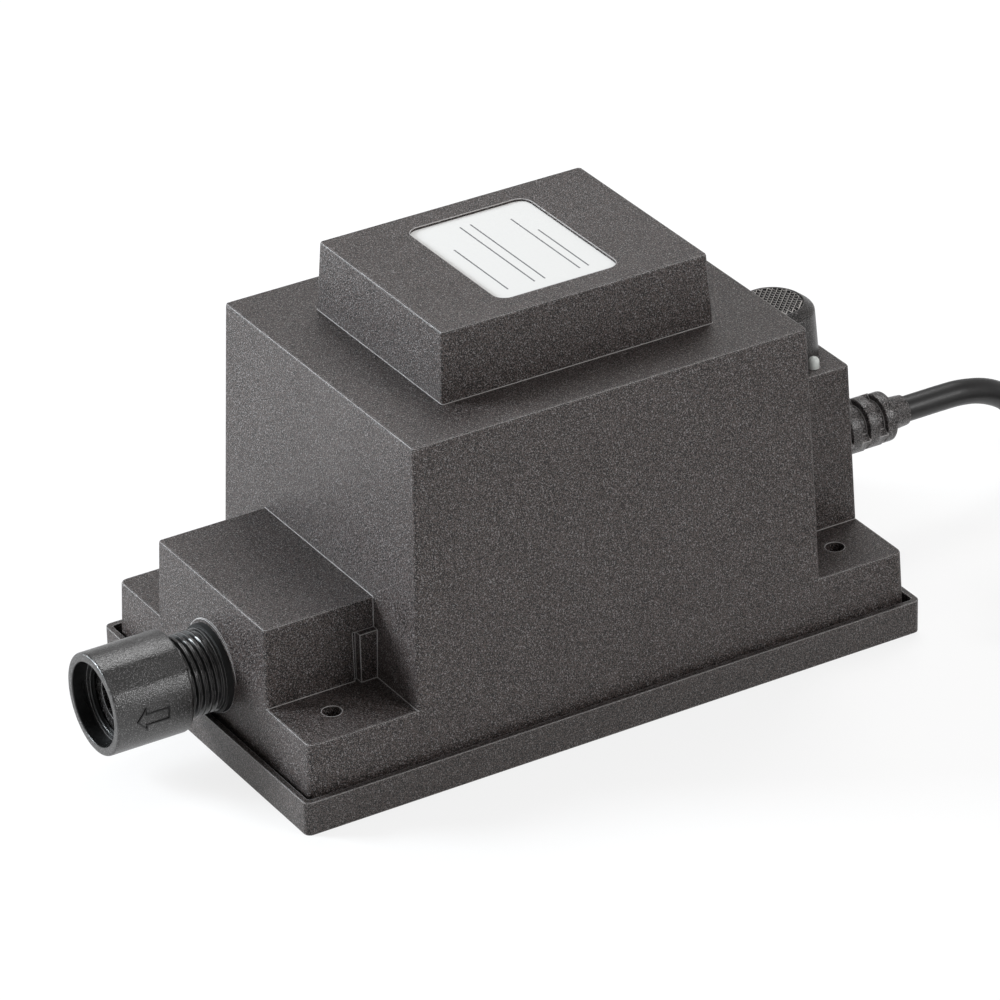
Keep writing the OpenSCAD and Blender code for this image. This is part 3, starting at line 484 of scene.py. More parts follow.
def oblong(x0, y0, x1, y1):
    """The corners of an upright oblong, in order."""
    return [(x0, y0), (x1, y0), (x1, y1), (x0, y1)]


def band(n, a, b):
    """Faces between two closed rings of n points, the a-th and the b-th in their list."""
    return [(n * a + k, n * a + (k + 1) % n, n * b + (k + 1) % n, n * b + k) for k in range(n)]


# A block's sides, where its points count up z first, then y, then x
BLOCK_SIDES = [(0, 1, 3, 2), (4, 6, 7, 5), (0, 4, 5, 1), (2, 3, 7, 6), (0, 2, 6, 4), (1, 5, 7, 3)]


def turned_piece(name, outline, segments, centre, key, axis="X", smooth=35, shape=None):
    """A closed outline (along, radius) turned round an axis, with a rule that may reshape it."""
    points, faces = [], []
    for s in range(segments):
        angle = TURN * s / segments
        for along, radius in outline:
            a, r = shape(along, radius, angle) if shape else (along, radius)
            c, d = r * math.cos(angle), r * math.sin(angle)
            place = (a, c, d) if axis == "X" else (c, d, a)
            points.append([m + v for m, v in zip(centre, place)])
        faces += band(len(outline), s, (s + 1) % segments)
    return mesh_piece(name, points, faces, key, smooth)


def joined(name, pieces):
    """Several pieces of one finish as one object."""
    made = bmesh.new()
    for piece in pieces:
        made.from_mesh(piece.data)
    mesh = bpy.data.meshes.new(name)
    made.to_mesh(mesh)
    made.free()
    mesh.materials.append(pieces[0].data.materials[0])
    for old in pieces:
        bpy.data.objects.remove(old)
    return linked(name, mesh)


def row_tree():
    """Geometry nodes that repeat a shape in a row, turned and scaled step by step."""
    tree = bpy.data.node_groups.get("shape_in_a_row")
    if tree:
        return tree
    tree = bpy.data.node_groups.new("shape_in_a_row", "GeometryNodeTree")
    for name, kind in (
        ("Shape", "Geometry"),
        ("Count", "Int"),
        ("Start", "Vector"),
        ("Step", "Vector"),
        ("Turn", "Vector"),
        ("Shrink", "Float"),
        ("Finish", "Material"),
    ):
        tree.interface.new_socket(name, in_out="INPUT", socket_type="NodeSocket" + kind)
    tree.interface.new_socket("Row", in_out="OUTPUT", socket_type="NodeSocketGeometry")
    given = add(tree, "NodeGroupInput").outputs
    places = {"Count": given["Count"], "Start Location": given["Start"], "Offset": given["Step"]}
    line = add(tree, "GeometryNodeMeshLine", places)
    index = add(tree, "GeometryNodeInputIndex")
    turn = add(tree, "VectorMath", {0: given["Turn"], "Scale": index}, operation="SCALE")
    less = add(tree, "Math", {0: index, 1: given["Shrink"], 2: 1.0}, operation="MULTIPLY_ADD")
    size = add(tree, "CombineXYZ", {"X": 1.0, "Y": less, "Z": less})
    copies = {"Points": line, "Instance": given["Shape"], "Rotation": turn, "Scale": size}
    placed = add(tree, "GeometryNodeInstanceOnPoints", copies)
    real = add(tree, "GeometryNodeRealizeInstances", {"Geometry": placed})
    painted = add(tree, "GeometryNodeSetMaterial", {"Geometry": real, "Material": given["Finish"]})
    add(tree, "NodeGroupOutput", {"Row": painted})
    return tree


def in_a_row(shape, count, start, step, turn=(0, 0, 0), shrink=0.0):
    """Repeats a shape by the row tree and returns the plain mesh piece."""
    tree = row_tree()
    modifier = shape.modifiers.new("row", "NODES")
    modifier.node_group = tree
    values = {
        "Count": count,
        "Start": [v * MM for v in start],
        "Step": [v * MM for v in step],
        "Turn": [math.radians(v) for v in turn],
        "Shrink": shrink,
        "Finish": shape.data.materials[0],
    }
    for item in tree.interface.items_tree:
        if item.item_type == "SOCKET" and item.in_out == "INPUT" and item.name in values:
            modifier[item.identifier] = values[item.name]
    shape.update_tag()
    graph = bpy.context.evaluated_depsgraph_get()
    graph.update()
    mesh = bpy.data.meshes.new_from_object(shape.evaluated_get(graph))
    mesh.name = shape.name
    shape.modifiers.remove(modifier)
    shape.data = mesh
    return shape


def settle(piece, body, *nodes, slot=None):
    """Lets a piece ride on its body, in place of its CAD nodes where it has any."""
    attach(piece, body)
    if nodes:
        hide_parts(*nodes)
    return piece


# Camera, floor and light


class SUPPLY_OT_stage(bpy.types.Operator):
    """Makes the camera at the photograph's angle, the pale floor and the soft lamps."""

    bl_idname = "supply.stage"
    bl_label = "Stage"

    def execute(self, context):
        scene, sizes = context.scene, context.scene.supply_stage
        scene.view_settings.view_transform = "Standard"
        self.camera(scene)
        floor = bpy.data.meshes.new("studio_floor")
        floor.from_pydata([(x, y, 0) for x, y in oblong(-6, -6, 6, 6)], [], [(0, 1, 2, 3)])
        floor.materials.append(self.paper(sizes.floor))
        linked("studio_floor", floor)
        self.world(scene)
        # A cool lamp beyond the output end, a dimmer one before the long side, and a broad one above
        self.lamp("side_lamp", (-0.95, 0.7, 0.5), 0.4, 0.4, sizes.side, (0.88, 0.95, 1.0))
        self.lamp("front_lamp", (0.6, -1.05, 0.7), 0.5, 0.4, sizes.front)
        self.lamp("top_lamp", (0.45, 0.6, 1.3), 0.7, 0.7, sizes.top)
        return {"FINISHED"}

    def camera(self, scene):
        """A camera fitted to the photograph: its lens, shift and roll, and its place in metres."""
        lens = bpy.data.cameras.new("camera")
        lens.lens, lens.sensor_width = 221.49, 36
        lens.shift_x, lens.shift_y = -0.00867, -0.04366
        lens.clip_start, lens.clip_end = 0.1, 30
        scene.camera = linked("camera", lens)
        ahead = Vector((0.44681, 0.75664, -0.47734)).normalized()
        right = ahead.cross(Vector((0, 0, 1))).normalized()
        up = right.cross(ahead)
        roll = math.radians(-1.477)
        x = right * math.cos(roll) + up * math.sin(roll)
        y = up * math.cos(roll) - right * math.sin(roll)
        turn = Matrix((x, y, -ahead)).transposed().to_4x4()
        scene.camera.matrix_world = Matrix.Translation((-0.69713, -1.18063, 0.79975)) @ turn

    def paper(self, base):
        """Pale paper that stays near white to the camera and keeps the shadow."""
        material, tree, shader, place = new_material("studio_paper")
        grain = add(tree, "TexNoise", {"Vector": place, "Scale": 60.0, "Detail": 2.0})
        shades = {"Factor": grain, 6: shaded(base, 0.985), 7: list(base)}
        tint = add(tree, "Mix", shades, data_type="RGBA")
        fill(tree, shader, {"Base Color": tint, "Roughness": 0.9, "Specular IOR Level": 0.1})
        rays = add(tree, "LightPath").outputs
        seen = rays["Is Camera Ray"]
        for other in ("Is Glossy Ray", "Is Transmission Ray"):
            seen = add(tree, "Math", {0: seen, 1: rays[other]}, operation="MAXIMUM")
        share = add(tree, "Math", {0: seen, 1: 0.8}, operation="MULTIPLY")
        glow = add(tree, "Emission", {"Color": (1, 1, 1, 1), "Strength": 1.0})
        both = add(tree, "MixShader", {0: share, 1: shader, 2: glow})
        output = next(n for n in tree.nodes if n.type == "OUTPUT_MATERIAL")
        fill(tree, output, {"Surface": both})
        return material

    def world(self, scene):
        """Even sky, pale at the horizon and dimmer overhead, as in a tent of paper."""
        scene.world = scene.world or bpy.data.worlds.new("studio")
        scene.world.use_nodes = True
        tree = scene.world.node_tree
        tree.nodes.clear()
        around = add(tree, "TexCoord").outputs["Generated"]
        height = add(tree, "SeparateXYZ", {"Vector": around}).outputs["Z"]
        limits = {"Value": height, "From Min": 0.05, "From Max": 0.5, "To Min": 0.5, "To Max": 0.36}
        strength = add(tree, "MapRange", limits)
        sky = add(tree, "Background", {"Color": (1, 1, 1, 1), "Strength": strength})
        add(tree, "OutputWorld", {"Surface": sky})

    def lamp(self, name, place, width, height, watts, tint=(1, 1, 1)):
        """A soft area lamp that looks at the object's lower half; place and size in metres."""
        light = bpy.data.lights.new(name, "AREA")
        light.shape, light.size, light.size_y, light.energy = "RECTANGLE", width, height, watts
        light.color = tint
        aim = Vector((0, 0, 0.05)) - Vector(place)
        turn = aim.to_track_quat("-Z", "Y").to_matrix().to_4x4()
        linked(name, light).matrix_world = Matrix.Translation(place) @ turn


# Mains cord


def catmull(points, steps):
    """A smooth line through given points."""
    out = []
    for i in range(len(points) - 1):
        a, b = Vector(points[max(i - 1, 0)]), Vector(points[i])
        c, d = Vector(points[i + 1]), Vector(points[min(i + 2, len(points) - 1)])
        for k in range(steps):
            s = k / steps
            bend = (2 * a - 5 * b + 4 * c - d) * s * s + (3 * b - a - 3 * c + d) * s**3
            out.append(0.5 * (2 * b + (c - a) * s + bend))
    out.append(Vector(points[-1]))
    return out


# Free stretch as it lies: forward and aside from the relief's tip, and the share of the drop to the table
FREE_CORD = [
    (14, 0, 0), (19.2, 0.1, 0.015), (24.3, 0.5, 0.06), (29, 1.1, 0.133), (33.4, 1.9, 0.233),
    (37.2, 2.8, 0.356), (40.4, 4, 0.5), (43.6, 5.2, 0.644), (47.4, 6.1, 0.767), (51.8, 6.9, 0.867),
    (56.5, 7.5, 0.94), (61.6, 7.9, 0.985), (66.8, 8, 1), (80.8, 8, 1),
]


class SUPPLY_OT_cord(bpy.types.Operator):
    """Lays the mains cord from the strain relief to its tied coil and plug."""

    bl_idname = "supply.cord"
    bl_label = "Mains cord"

    def route(self, sizes):
        """The centre line from inside the relief to the end of the coil's upper layer."""
        d, gap, inner, turns = sizes.diameter / MM, sizes.gap / MM, sizes.inner_radius / MM, sizes.turns
        tip, low = RELIEF_HIGH.x, span("cord_coil")[0].z + d / 2
        outer = inner + turns * (d + gap)
        free = [(tip - 8, 0, RELIEF_Z), (tip, 0, RELIEF_Z)]
        free += [(tip + x, y, RELIEF_Z + (low - RELIEF_Z) * share) for x, y, share in FREE_CORD]
        line = catmull(free, 3)
        centre = Vector((free[-1][0] + d, free[-1][1] - outer, 0))
        points_a_turn = 48
        for i in range(int(points_a_turn * turns * 2) + 1):
            t = i / points_a_turn
            angle = math.pi / 2 - TURN * t
            # Inwards in the lower layer, up within half a turn, and outwards in the upper layer
            radius = inner + (d + gap) * abs(t - turns)
            rise = min(1.0, max(0.0, 2 * (t - turns) + 0.5))
            z = low + (d + gap) * rise * rise * (3 - 2 * rise)
            line.append(centre + Vector((radius * math.cos(angle), radius * math.sin(angle), z)))
        return line

    def execute(self, context):
        sizes = context.scene.supply_cord
        line = self.route(sizes)
        last = line[-1].copy()
        into_plug = span("plug_body")[1].x - 4
        line += [Vector((last.x + (into_plug - last.x) * s, last.y, last.z)) for s in (0.25, 0.5, 0.75, 1)]
        curve = bpy.data.curves.new("mains_cord", "CURVE")
        curve.dimensions, curve.bevel_depth, curve.bevel_resolution = "3D", sizes.diameter / 2, 5
        curve.use_fill_caps, curve.twist_mode = True, "MINIMUM"
        strand = curve.splines.new("POLY")
        strand.points.add(len(line) - 1)
        for point, place in zip(strand.points, line):
            point.co = (*(place * MM), 1)
        strand.use_smooth = True
        curve.materials.append(finish_of("cord"))
        cord = settle(linked("mains_cord", curve), HOUSING, "cord_run", "cord_coil")
        tie = self.tie()
        plug = self.plug(last)
        dress(plug_pins="nickel")
        return {"FINISHED"}

    def tie(self):
        """A soft band with round corners, lying round the turns."""
        low, high = span("cord_tie")
        thick, corner, soft = 1, 4.4, 0.35
        inner = oblong(low.x + thick, low.z + thick, high.x - thick, high.z - thick)
        out = rounded(oblong(low.x, low.z, high.x, high.z), corner, 6)
        hole = rounded(inner, corner - thick, 6)
        wide = high.y - low.y
        middle = Vector(((low.x + high.x) / 2, (low.z + high.z) / 2))
        points, faces = [], []
        for ring, sign in ((out, -1), (hole, 1)):
            for along, inset in ((0.0, soft), (soft, 0.0), (wide - soft, 0.0), (wide, soft)):
                for p in ring:
                    q = p + (p - middle).normalized() * inset * sign * 0.5
                    points.append((q.x, low.y + along, q.y))
        order = [0, 1, 2, 3, 7, 6, 5, 4]
        for a, b in zip(order, order[1:] + order[:1]):
            faces += band(len(out), a, b)
        return settle(mesh_piece("cord_band", points, faces, "rubber"), HOUSING, "cord_tie")

    def plug(self, last):
        """A moulded two-pin plug: a flattened round body, finger grooves and a ribbed neck."""
        low, high = span("plug_body")
        full, flat = high.x - low.x, (high.z - low.z) / 2
        half, neck, groove = min(high.y - last.y, 18.5), 5.5, 0.9
        # Flat face with a rounded rim, then two finger grooves
        line = [(0, 0), (0, half - 1.2), (1.2, half), (9, half), (11, half - groove), (13, half)]
        line += [(16, half), (18, half - groove), (20, half)]
        # Shoulder down to the neck, four grooves round the neck, and its tail
        line += [(27, half - 0.4), (32, half - 3), (35.4, neck + 4), (36.5, neck + 0.6)]
        for x in (38, 41, 44, 47):
            line += [(x, neck - 0.2), (x + 0.4, neck - 1), (x + 1.6, neck - 1), (x + 2, neck - 0.2)]
        line += [(full - 0.6, neck - 0.4), (full, neck - 1.2), (full, 0)]

        def squared(along, radius, angle):
            lift = abs(radius * math.sin(angle))
            return along, radius * (1 if lift <= flat else flat / lift)

        piece = turned_piece("mains_plug", line, 72, (low.x, last.y, last.z), "moulded_pvc", shape=squared)
        return settle(piece, HOUSING, "plug_body")


class SUPPLY_OT_relief(bpy.types.Operator):
    """Makes the ringed strain relief where the cord leaves the housing."""

    bl_idname = "supply.relief"
    bl_label = "Strain relief"

    def execute(self, context):
        sizes = context.scene.supply_cord
        foot, tip, count = RELIEF_LOW.x, RELIEF_HIGH.x, sizes.rings
        face, last = tip - sizes.relief / MM, tip - sizes.sleeve / MM
        step = (last - face) / count
        # Radii along the core: the bore, then from the foot inside the wall to the sleeve outside
        bore, inside, neck, flange, root, sleeve = sizes.diameter / MM / 2 + 0.05, 9.2, 5.5, 8.3, 5.2, 4.6
        core = [(foot, bore), (foot, inside), (foot + 2, inside), (foot + 2, neck)]
        core += [(face + 0.1, neck), (face + 0.1, flange), (face + 2, flange), (face + 2, root)]
        core += [(last, root), (last, sleeve), (tip, sleeve - 0.5), (tip, bore)]
        soft = [0, 0.3, 0.3, 0, 0, 0.4, 0.4, 0, 0.3, 0.2, 0.3, 0]
        body = turned_piece("relief_core", rounded(core, soft, 3), 64, (0, 0, RELIEF_Z), "moulded_pvc")
        # Each ring is a little smaller than the one before it, towards the tip
        width, top, buried, shrink = 3.25, 7.52, 4.5, -0.024
        ring = rounded([(-width, buried), (-width, top), (0, top), (0, buried)], [0, 0.45, 0.45, 0], 3)
        shape = turned_piece("relief_rings", ring, 64, (0, 0, 0), "moulded_pvc")
        rings = in_a_row(shape, count, (face + step, 0, RELIEF_Z), (step, 0, 0), shrink=shrink)
        # Leaning bars join the rings across their gaps
        wide, high, lean = 6.9, 3.1, math.radians(38)
        c, s = math.cos(lean), math.sin(lean)
        ends = (-step - 0.2, 0.2 - width)
        bar = [(x, y * c - z * s, y * s + z * c) for x in ends for y in (-wide, wide) for z in (-high, high)]
        bridge = mesh_piece("relief_bridges", bar, BLOCK_SIDES, "moulded_pvc")
        bridges = in_a_row(bridge, count - 1, (face + 2 * step, 0, RELIEF_Z), (step, 0, 0), shrink=shrink)
        settle(joined("strain_relief_boot", [body, rings, bridges]), HOUSING, "strain_relief")
        dress(relief_clamp="strip")
        return {"FINISHED"}


# Housing


class SUPPLY_OT_housing(bpy.types.Operator):
    """Finishes the cover and the tray, with their gasket and closing screws."""

    bl_idname = "supply.housing"
    bl_label = "Cover and tray"

    def execute(self, context):
        dress(housing_cover="cover", base_gasket="rubber")
        self.tray()
        self.screws()
        return {"FINISHED"}

    def tray(self):
        """A merged copy of the tray's solid whose edges are softened."""
        made = bmesh.new()
        made.from_mesh(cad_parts["base_tray"].data)
        bmesh.ops.remove_doubles(made, verts=made.verts, dist=1e-6)
        bmesh.ops.dissolve_limit(made, angle_limit=math.radians(0.6), verts=made.verts, edges=made.edges)
        piece = mesh_object("moulded_tray", made, "tray", 30)
        soften = piece.modifiers.new("softened_edges", "BEVEL")
        soften.width, soften.segments = 0.35 * MM, 2
        soften.limit_method, soften.angle_limit = "ANGLE", math.radians(40)
        soften.harden_normals = True
        settle(piece, HOUSING, "base_tray")

    def screws(self):
        """Six pan screws with a cross recess, two rows of three."""
        low, high = span("tray_screws")
        head, shank, depth = 3.5, 1.75, high.z - low.z
        outline = [(0, 0), (0, head - 0.4), (0.5, head), (2.2, head)]
        outline += [(2.2, shank), (depth - 1, shank), (depth, 0.6), (depth, 0)]
        outline = rounded(outline, [0, 0.3, 0.2, 0.1, 0, 0.2, 0.2, 0], 3)
        # The head's face gets rings of points, so that the cross can sink into it
        face = [Vector((0, r)) for r in (0.3, 0.7, 1.1, 1.5, 1.9, 2.05, 2.3, 2.7)]
        outline = [outline[0]] + face + outline[1:]
        arm_half, arm_reach, sunk = 0.75, 2.1, 1.1

        def recess(along, radius, angle):
            arm = abs(math.sin(2 * angle)) * radius < arm_half and radius < arm_reach
            return (along + sunk if along < 0.05 and arm else along), radius

        shape = turned_piece("closing_screws", outline, 48, (0, 0, 0), "zinc", axis="Z", shape=recess)
        row = in_a_row(shape, 3, (low.x + head, 0, low.z), ((high.x - low.x - 2 * head) / 2, 0, 0))
        pair = in_a_row(row, 2, (0, low.y + head, 0), (0, high.y - low.y - 2 * head, 0))
        settle(pair, HOUSING, "tray_screws")


class SUPPLY_OT_label(bpy.types.Operator):
    """Lays the blank rating plate in its recess."""

    bl_idname = "supply.label"
    bl_label = "Blank plate"

    def execute(self, context):
        low, high = span("label_plate")
        middle = Vector(((low.x + high.x) / 2, (low.y + high.y) / 2))
        edge = rounded(oblong(low.x, low.y, high.x, high.y), 3.5, 8)
        bevel, n = 0.12, len(edge)
        points = []
        for z, inset in ((low.z, 0), (high.z - bevel, 0), (high.z, bevel)):
            for p in edge:
                q = p + (middle - p).normalized() * inset
                points.append((q.x, q.y, z))
        faces = band(n, 0, 1) + band(n, 1, 2) + [tuple(range(n))[::-1], tuple(range(2 * n, 3 * n))]
        settle(mesh_piece("rating_plate_blank", points, faces, "label", 20), HOUSING, "label_plate")
        return {"FINISHED"}


# Output


class SUPPLY_OT_socket(bpy.types.Operator):
    """Cuts the helical thread of the output socket and finishes its contacts and seal."""

    bl_idname = "supply.socket"
    bl_label = "Output socket"

    def execute(self, context):
        sizes = context.scene.supply_output
        pitch, crest = sizes.pitch / MM, sizes.crest / MM
        mouth, tail, outer = SOCKET_LOW.x, SOCKET_HIGH.x, (SOCKET_HIGH.z - SOCKET_LOW.z) / 2
        foot = span("socket_seal")[0].x
        root, bore, stem = outer - crest, 8.0, 9.5
        # Points at this radius, ten to a pitch, are the ones that the thread lifts
        threaded, fine = root + 0.001, pitch / 10
        count = int((foot - mouth - 1.2) / fine)
        line = [(mouth, bore), (mouth, root - 0.5), (mouth + 0.4, root)]
        line += [(mouth + 0.5 + i * fine, threaded) for i in range(count)]
        line += [(foot - 0.9, root), (foot - 0.9, outer), (foot, outer)]
        line += [(foot, stem), (tail, stem), (tail, bore)]

        # The ridge is a third of the pitch wide on top, with leaning sides, and fades out at both ends
        def thread(along, radius, angle):
            if radius != threaded:
                return along, radius
            phase = ((along - mouth) / pitch - angle / TURN) % 1.0
            ridge = max(0.0, min(1.0, (0.36 - abs(phase - 0.5)) / 0.2))
            ends = max(0.0, min(1.0, (along - mouth - 0.5) / 1.2, (foot - 1.1 - along) / 1.0))
            return along, radius + (crest - 0.02) * ridge * ends

        piece = turned_piece("threaded_socket", line, 128, (0, 0, SOCKET_Z), "thread", shape=thread)
        settle(piece, HOUSING, "output_socket")
        dress(socket_seal="rubber", socket_back_nut="thread")
        dress(contact_carrier="carrier", output_contacts="brass")
        return {"FINISHED"}


class SUPPLY_OT_nut(bpy.types.Operator):
    """Makes the coupling nut with its flats and moulded arrow, and finishes the clamp ring."""

    bl_idname = "supply.nut"
    bl_label = "Coupling nut"

    def execute(self, context):
        sizes = context.scene.supply_output
        low, high = span("coupling_nut")
        outer, bore, edge = (high.y - low.y) / 2, 11.05, sizes.nut_edge / MM
        # The lip that holds the clamp ring
        lip_end, lip_radius = span("clamp_ring")[0].x - 0.35, 9.4
        lip_start = lip_end - 1.4
        corners = [(low.x, bore), (low.x, outer), (high.x, outer), (high.x, bore)]
        corners += [(lip_end, bore), (lip_end, lip_radius), (lip_start, lip_radius), (lip_start, bore)]
        outline = rounded(corners, [0.35, edge, edge, 0.35, 0, 0.25, 0.25, 0], 5)
        flat, cut = math.radians(130), 0.4

        def flats(along, radius, angle):
            lean = abs(math.cos(angle - flat))
            limit = (outer - cut) / lean if lean > 0.3 else radius
            return along, min(radius, limit) if radius > bore + 0.5 else radius

        body = turned_piece("nut_shell", outline, 144, (0, 0, SOCKET_Z), "nut", shape=flats)
        # The bore has the polish of the thread
        body.data.materials.append(finish_of("thread"))
        for face in body.data.polygons:
            centre = face.center / MM
            if math.hypot(centre.y, centre.z - SOCKET_Z) < bore + 0.2:
                face.material_index = 1
        settle(body, NUT, "coupling_nut")
        mark = self.arrow(low.x + 5.5, outer, math.radians(181), sizes.mark_height / MM)
        settle(mark, NUT, slot="nut_plastic")
        dress(clamp_ring="nut")
        return {"FINISHED"}

    def arrow(self, start, radius, middle, height):
        """The outline of an arrow in raised lines, bent round the nut."""
        head, shaft, half, wide = 2.6, 8.8, 1.5, 3
        outline = [(0, 0), (head, wide), (head, half), (shaft, half)]
        outline += [(x, -y) for x, y in outline[::-1]]
        line_half, buried, parts = 0.25, -0.4, 6
        points, faces = [], []
        for a, b in zip(outline, outline[1:]):
            a, b = Vector(a), Vector(b)
            way = (b - a).normalized() * line_half
            side = Vector((-way.y, way.x))
            for k in range(parts + 1):
                p = (a - way) + (b - a + 2 * way) * k / parts
                for share, h in ((1, buried), (-1, buried), (-0.6, height), (0.6, height)):
                    q = p + side * share
                    angle, r = middle + q.y / radius, radius + h
                    points.append((start + q.x, r * math.cos(angle), SOCKET_Z + r * math.sin(angle)))
            first = len(points) // 4 - parts - 1
            for k in range(first, first + parts):
                faces += band(4, k, k + 1)
            faces += [tuple(4 * k + j for j in range(4)) for k in (first, first + parts)]
        return mesh_piece("nut_arrow", points, faces, "mark", 30, 0.0001)


# Sensor and lamp


class SUPPLY_OT_sensor(bpy.types.Operator):
    """Makes the light sensor's collar and its diamond-patterned lens."""

    bl_idname = "supply.sensor"
    bl_label = "Light sensor"

    def execute(self, context):
        low, high = span("sensor_collar")
        lens_low, lens_high = span("sensor_lens")
        centre = ((low.x + high.x) / 2, (low.y + high.y) / 2, low.z)
        foot, shoulder, lens = (high.x - low.x) / 2, 10.9, (lens_high.x - lens_low.x) / 2
        top, seat, bore = high.z - low.z, lens_low.z - low.z, lens + 0.1
        # Groove of the seal underneath, the leaning side, the rim, the lens's bore and the hollow below it
        corners = [(0.8, foot - 3.8), (0.8, foot - 1.8), (0, foot - 1.8), (0, foot), (top - 2.3, shoulder)]
        corners += [(top, bore), (seat - 0.1, bore), (seat - 0.1, lens - 1.2)]
        corners += [(seat - 2.2, shoulder - 3), (2.8, foot - 3.8)]
        outline = rounded(corners, [0, 0, 0, 0.3, 1.4, 0.35, 0, 0, 0, 0], 6)
        collar = turned_piece("sensor_housing", outline, 96, centre, "collar", axis="Z", smooth=40)
        settle(collar, HOUSING, "sensor_collar")
        disc = self.lens(centre, lens, lens_low.z, lens_high.z, context.scene.supply_sensor)
        settle(disc, HOUSING, "sensor_lens")
        dress(sensor_seal="rubber", photocell="ceramic")
        return {"FINISHED"}

    def lens(self, centre, radius, z0, z1, sizes):
        """A thick disc whose top carries small four-sided points."""
        cell, depth = sizes.cell * math.sqrt(2) / MM, sizes.relief / MM
        count, segments, rim = 60, 200, 0.8
        rings = [(radius, z0), (radius, z1 - 0.6), (radius - 0.35, z1 - 0.15), (radius - rim, z1)]
        rings += [((radius - rim) * (1 - i / count), None) for i in range(1, count)]
        points, faces = [], []
        for i, (r, z) in enumerate(rings):
            for s in range(segments):
                x, y = r * math.cos(TURN * s / segments), r * math.sin(TURN * s / segments)
                height = z
                if z is None:
                    u, v = (x + y) / cell, (x - y) / cell
                    sunk = max(abs(u - round(u)), abs(v - round(v))) * 2
                    # The pattern starts over the first three rings within the rim
                    height = z1 - depth * sunk * min(1.0, (i - 3) / 3)
                points.append((centre[0] + x, centre[1] + y, height))
        for i in range(len(rings) - 1):
            faces += band(segments, i, i + 1)
        inmost, end = (len(rings) - 1) * segments, len(points)
        points += [(centre[0], centre[1], z0), (centre[0], centre[1], z1 - depth * 0.2)]
        for s in range(segments):
            t = (s + 1) % segments
            faces += [(end, t, s), (end + 1, inmost + s, inmost + t)]
        return mesh_piece("sensor_lens_disc", points, faces, "lens", 25, 0.0001)


class SUPPLY_OT_lamp(bpy.types.Operator):
    """Makes the domed indicator lamp beside the sensor."""

    bl_idname = "supply.lamp"
    bl_label = "Indicator lamp"

    def execute(self, context):
        low, high = span("indicator_led")
        centre = ((low.x + high.x) / 2, (low.y + high.y) / 2, 0)
        foot, dome, rim, wire = high.z - 5.6, 1.5, 1.6, 0.25
        arc = [math.pi / 2 * k / 10 for k in range(10)]
        line = [(foot, 0), (foot, rim), (foot + 0.9, rim), (foot + 0.9, dome)]
        line += [(high.z - dome + dome * math.sin(a), dome * math.cos(a)) for a in arc] + [(high.z, 0)]
        bulb = turned_piece("lamp_dome", line, 48, centre, "lamp", axis="Z")
        leads = []
        # Two leads at the usual spacing of 2.54 mm
        for side in (-1.27, 1.27):
            sides, ends = (side - wire, side + wire), (low.z, foot + 0.2)
            points = [(centre[0] + x, centre[1] + y, z) for x in (-wire, wire) for y in sides for z in ends]
            leads.append(mesh_piece("lamp_lead", points, BLOCK_SIDES, "zinc"))
        settle(joined("lamp_leads", leads), HOUSING, slot="zinc_steel")
        settle(bulb, HOUSING, "indicator_led")
        return {"FINISHED"}


# Inside


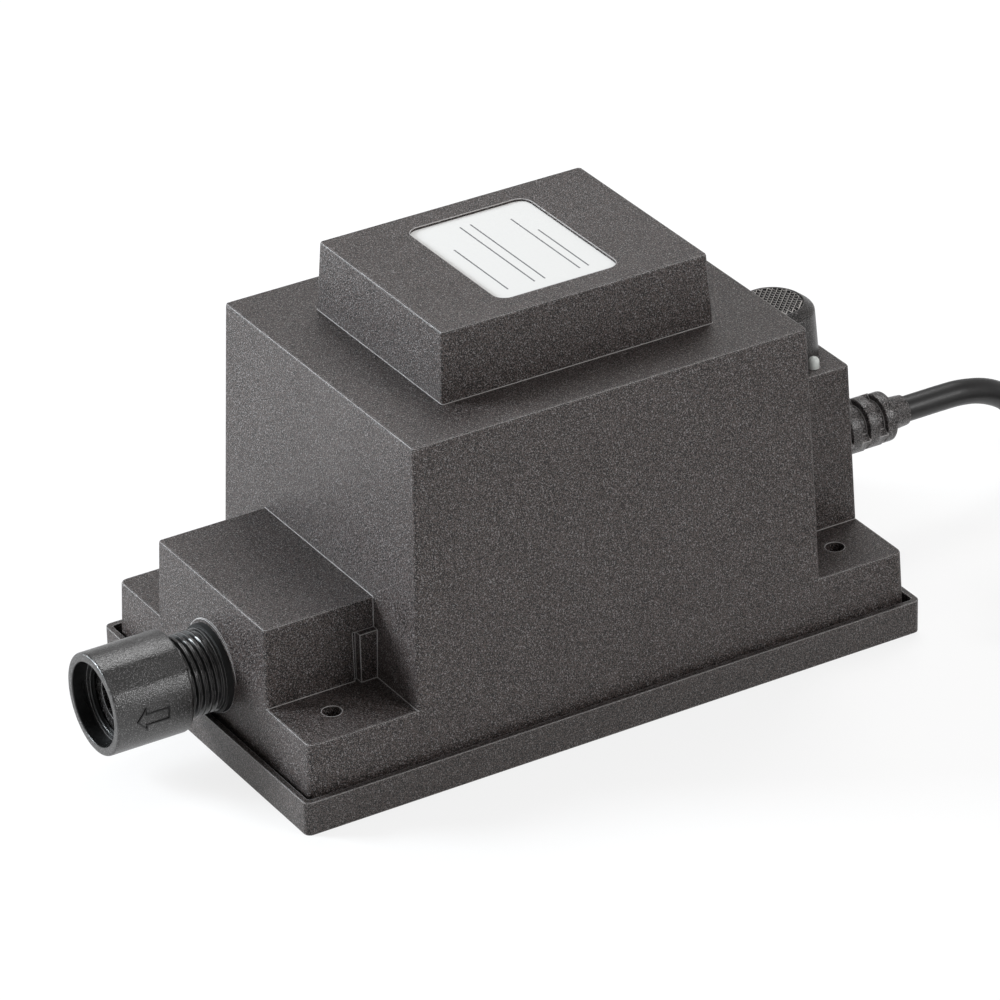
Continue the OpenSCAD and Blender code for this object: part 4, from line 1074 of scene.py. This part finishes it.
class SUPPLY_OT_transformer(bpy.types.Operator):
    """Winds the transformer and finishes its core, bobbin and bracket."""

    bl_idname = "supply.transformer"
    bl_label = "Transformer"

    def execute(self, context):
        self.winding("primary_winding", "primary_turns", 0.9)
        self.winding("secondary_winding", "secondary_turns", 1.8)
        dress(core_e_stack="laminations", core_i_stack="laminations", core_bolts="zinc")
        dress(core_bracket="strip", bracket_screws="zinc", bobbin="bobbin", bobbin_pins="brass")
        dress(winding_tape="tape", thermal_cutout="cutout")
        return {"FINISHED"}

    def winding(self, node, name, wire):
        """One side by side layer of wire round the turns beneath it."""
        low, high = span(node)
        middle, half = (low + high) / 2, (high - low) / 2
        bobbin_x, bobbin_y, proud = 17.4, 23.9, wire * 0.42
        outer = rounded(oblong(-half.x, -half.y, half.x, half.y), 7.2, 7)
        inner = rounded(oblong(-bobbin_x, -bobbin_y, bobbin_x, bobbin_y), 1.2, 7)
        n, count = len(outer), int((high.z - low.z) / wire)
        step = (high.z - low.z) / count

        def shrunk(loop, inset):
            return [p - p.normalized() * inset for p in loop]

        points, faces, less = [], [], wire * 0.14
        for inset, share in ((proud, 0.0), (less, 0.14), (0.0, 0.5), (less, 0.86)):
            points += [(q.x, q.y, step * share) for q in shrunk(outer, inset)]
        for k in range(4):
            faces += band(n, k, (k + 1) % 4)
        turn = mesh_piece(name + "_turn", points, faces, "copper", 60, 0.0001)
        turns = in_a_row(turn, count, (middle.x, middle.y, low.z), (0, 0, step))
        points, faces = [], []
        for z in (low.z, high.z):
            for q in shrunk(outer, proud + 0.05) + shrunk(inner, 0.0):
                points.append((middle.x + q.x, middle.y + q.y, z))
        for a, b in ((0, 2), (1, 3), (0, 1), (2, 3)):
            faces += band(n, a, b)
        under = mesh_piece(name + "_under", points, faces, "copper", 60)
        settle(joined(name, [turns, under]), HOUSING, node)


class SUPPLY_OT_electronics(bpy.types.Operator):
    """Finishes the control board and what stands on it."""

    bl_idname = "supply.electronics"
    bl_label = "Control board"

    def execute(self, context):
        dress(control_board="board", board_screws="zinc", mains_terminal="terminal")
        dress(relay="relay", smoothing_capacitor="sleeve")
        return {"FINISHED"}


GROUPS = (
    ("supply_output", SUPPLY_PG_output),
    ("supply_sensor", SUPPLY_PG_sensor),
    ("supply_cord", SUPPLY_PG_cord),
    ("supply_finish", SUPPLY_PG_finish),
    ("supply_stage", SUPPLY_PG_stage),
)
STEPS = (
    SUPPLY_OT_stage,
    SUPPLY_OT_cord,
    SUPPLY_OT_relief,
    SUPPLY_OT_housing,
    SUPPLY_OT_label,
    SUPPLY_OT_socket,
    SUPPLY_OT_nut,
    SUPPLY_OT_sensor,
    SUPPLY_OT_lamp,
    SUPPLY_OT_transformer,
    SUPPLY_OT_electronics,
)


class SUPPLY_PT_sidebar(bpy.types.Panel):
    """Lists the sizes, the colours and the steps."""

    bl_idname = "SUPPLY_PT_sidebar"
    bl_label = "Power supply"
    bl_space_type = "VIEW_3D"
    bl_region_type = "UI"
    bl_category = "Supply"

    def draw(self, context):
        for name, group in GROUPS:
            box = self.layout.box()
            for key in group.__annotations__:
                box.prop(getattr(context.scene, name), key)
        for step in STEPS:
            self.layout.operator(step.bl_idname)


def register():
    for name, group in GROUPS:
        bpy.utils.register_class(group)
        setattr(bpy.types.Scene, name, PointerProperty(type=group))
    for made in (*STEPS, SUPPLY_PT_sidebar):
        bpy.utils.register_class(made)


def unregister():
    for made in (SUPPLY_PT_sidebar, *reversed(STEPS)):
        bpy.utils.unregister_class(made)
    for name, group in reversed(GROUPS):
        delattr(bpy.types.Scene, name)
        bpy.utils.unregister_class(group)


def main():
    """Builds everything in order."""
    register()
    for step in STEPS:
        family, name = step.bl_idname.split(".")
        getattr(getattr(bpy.ops, family), name)()


if __name__ == "__main__":
    main()
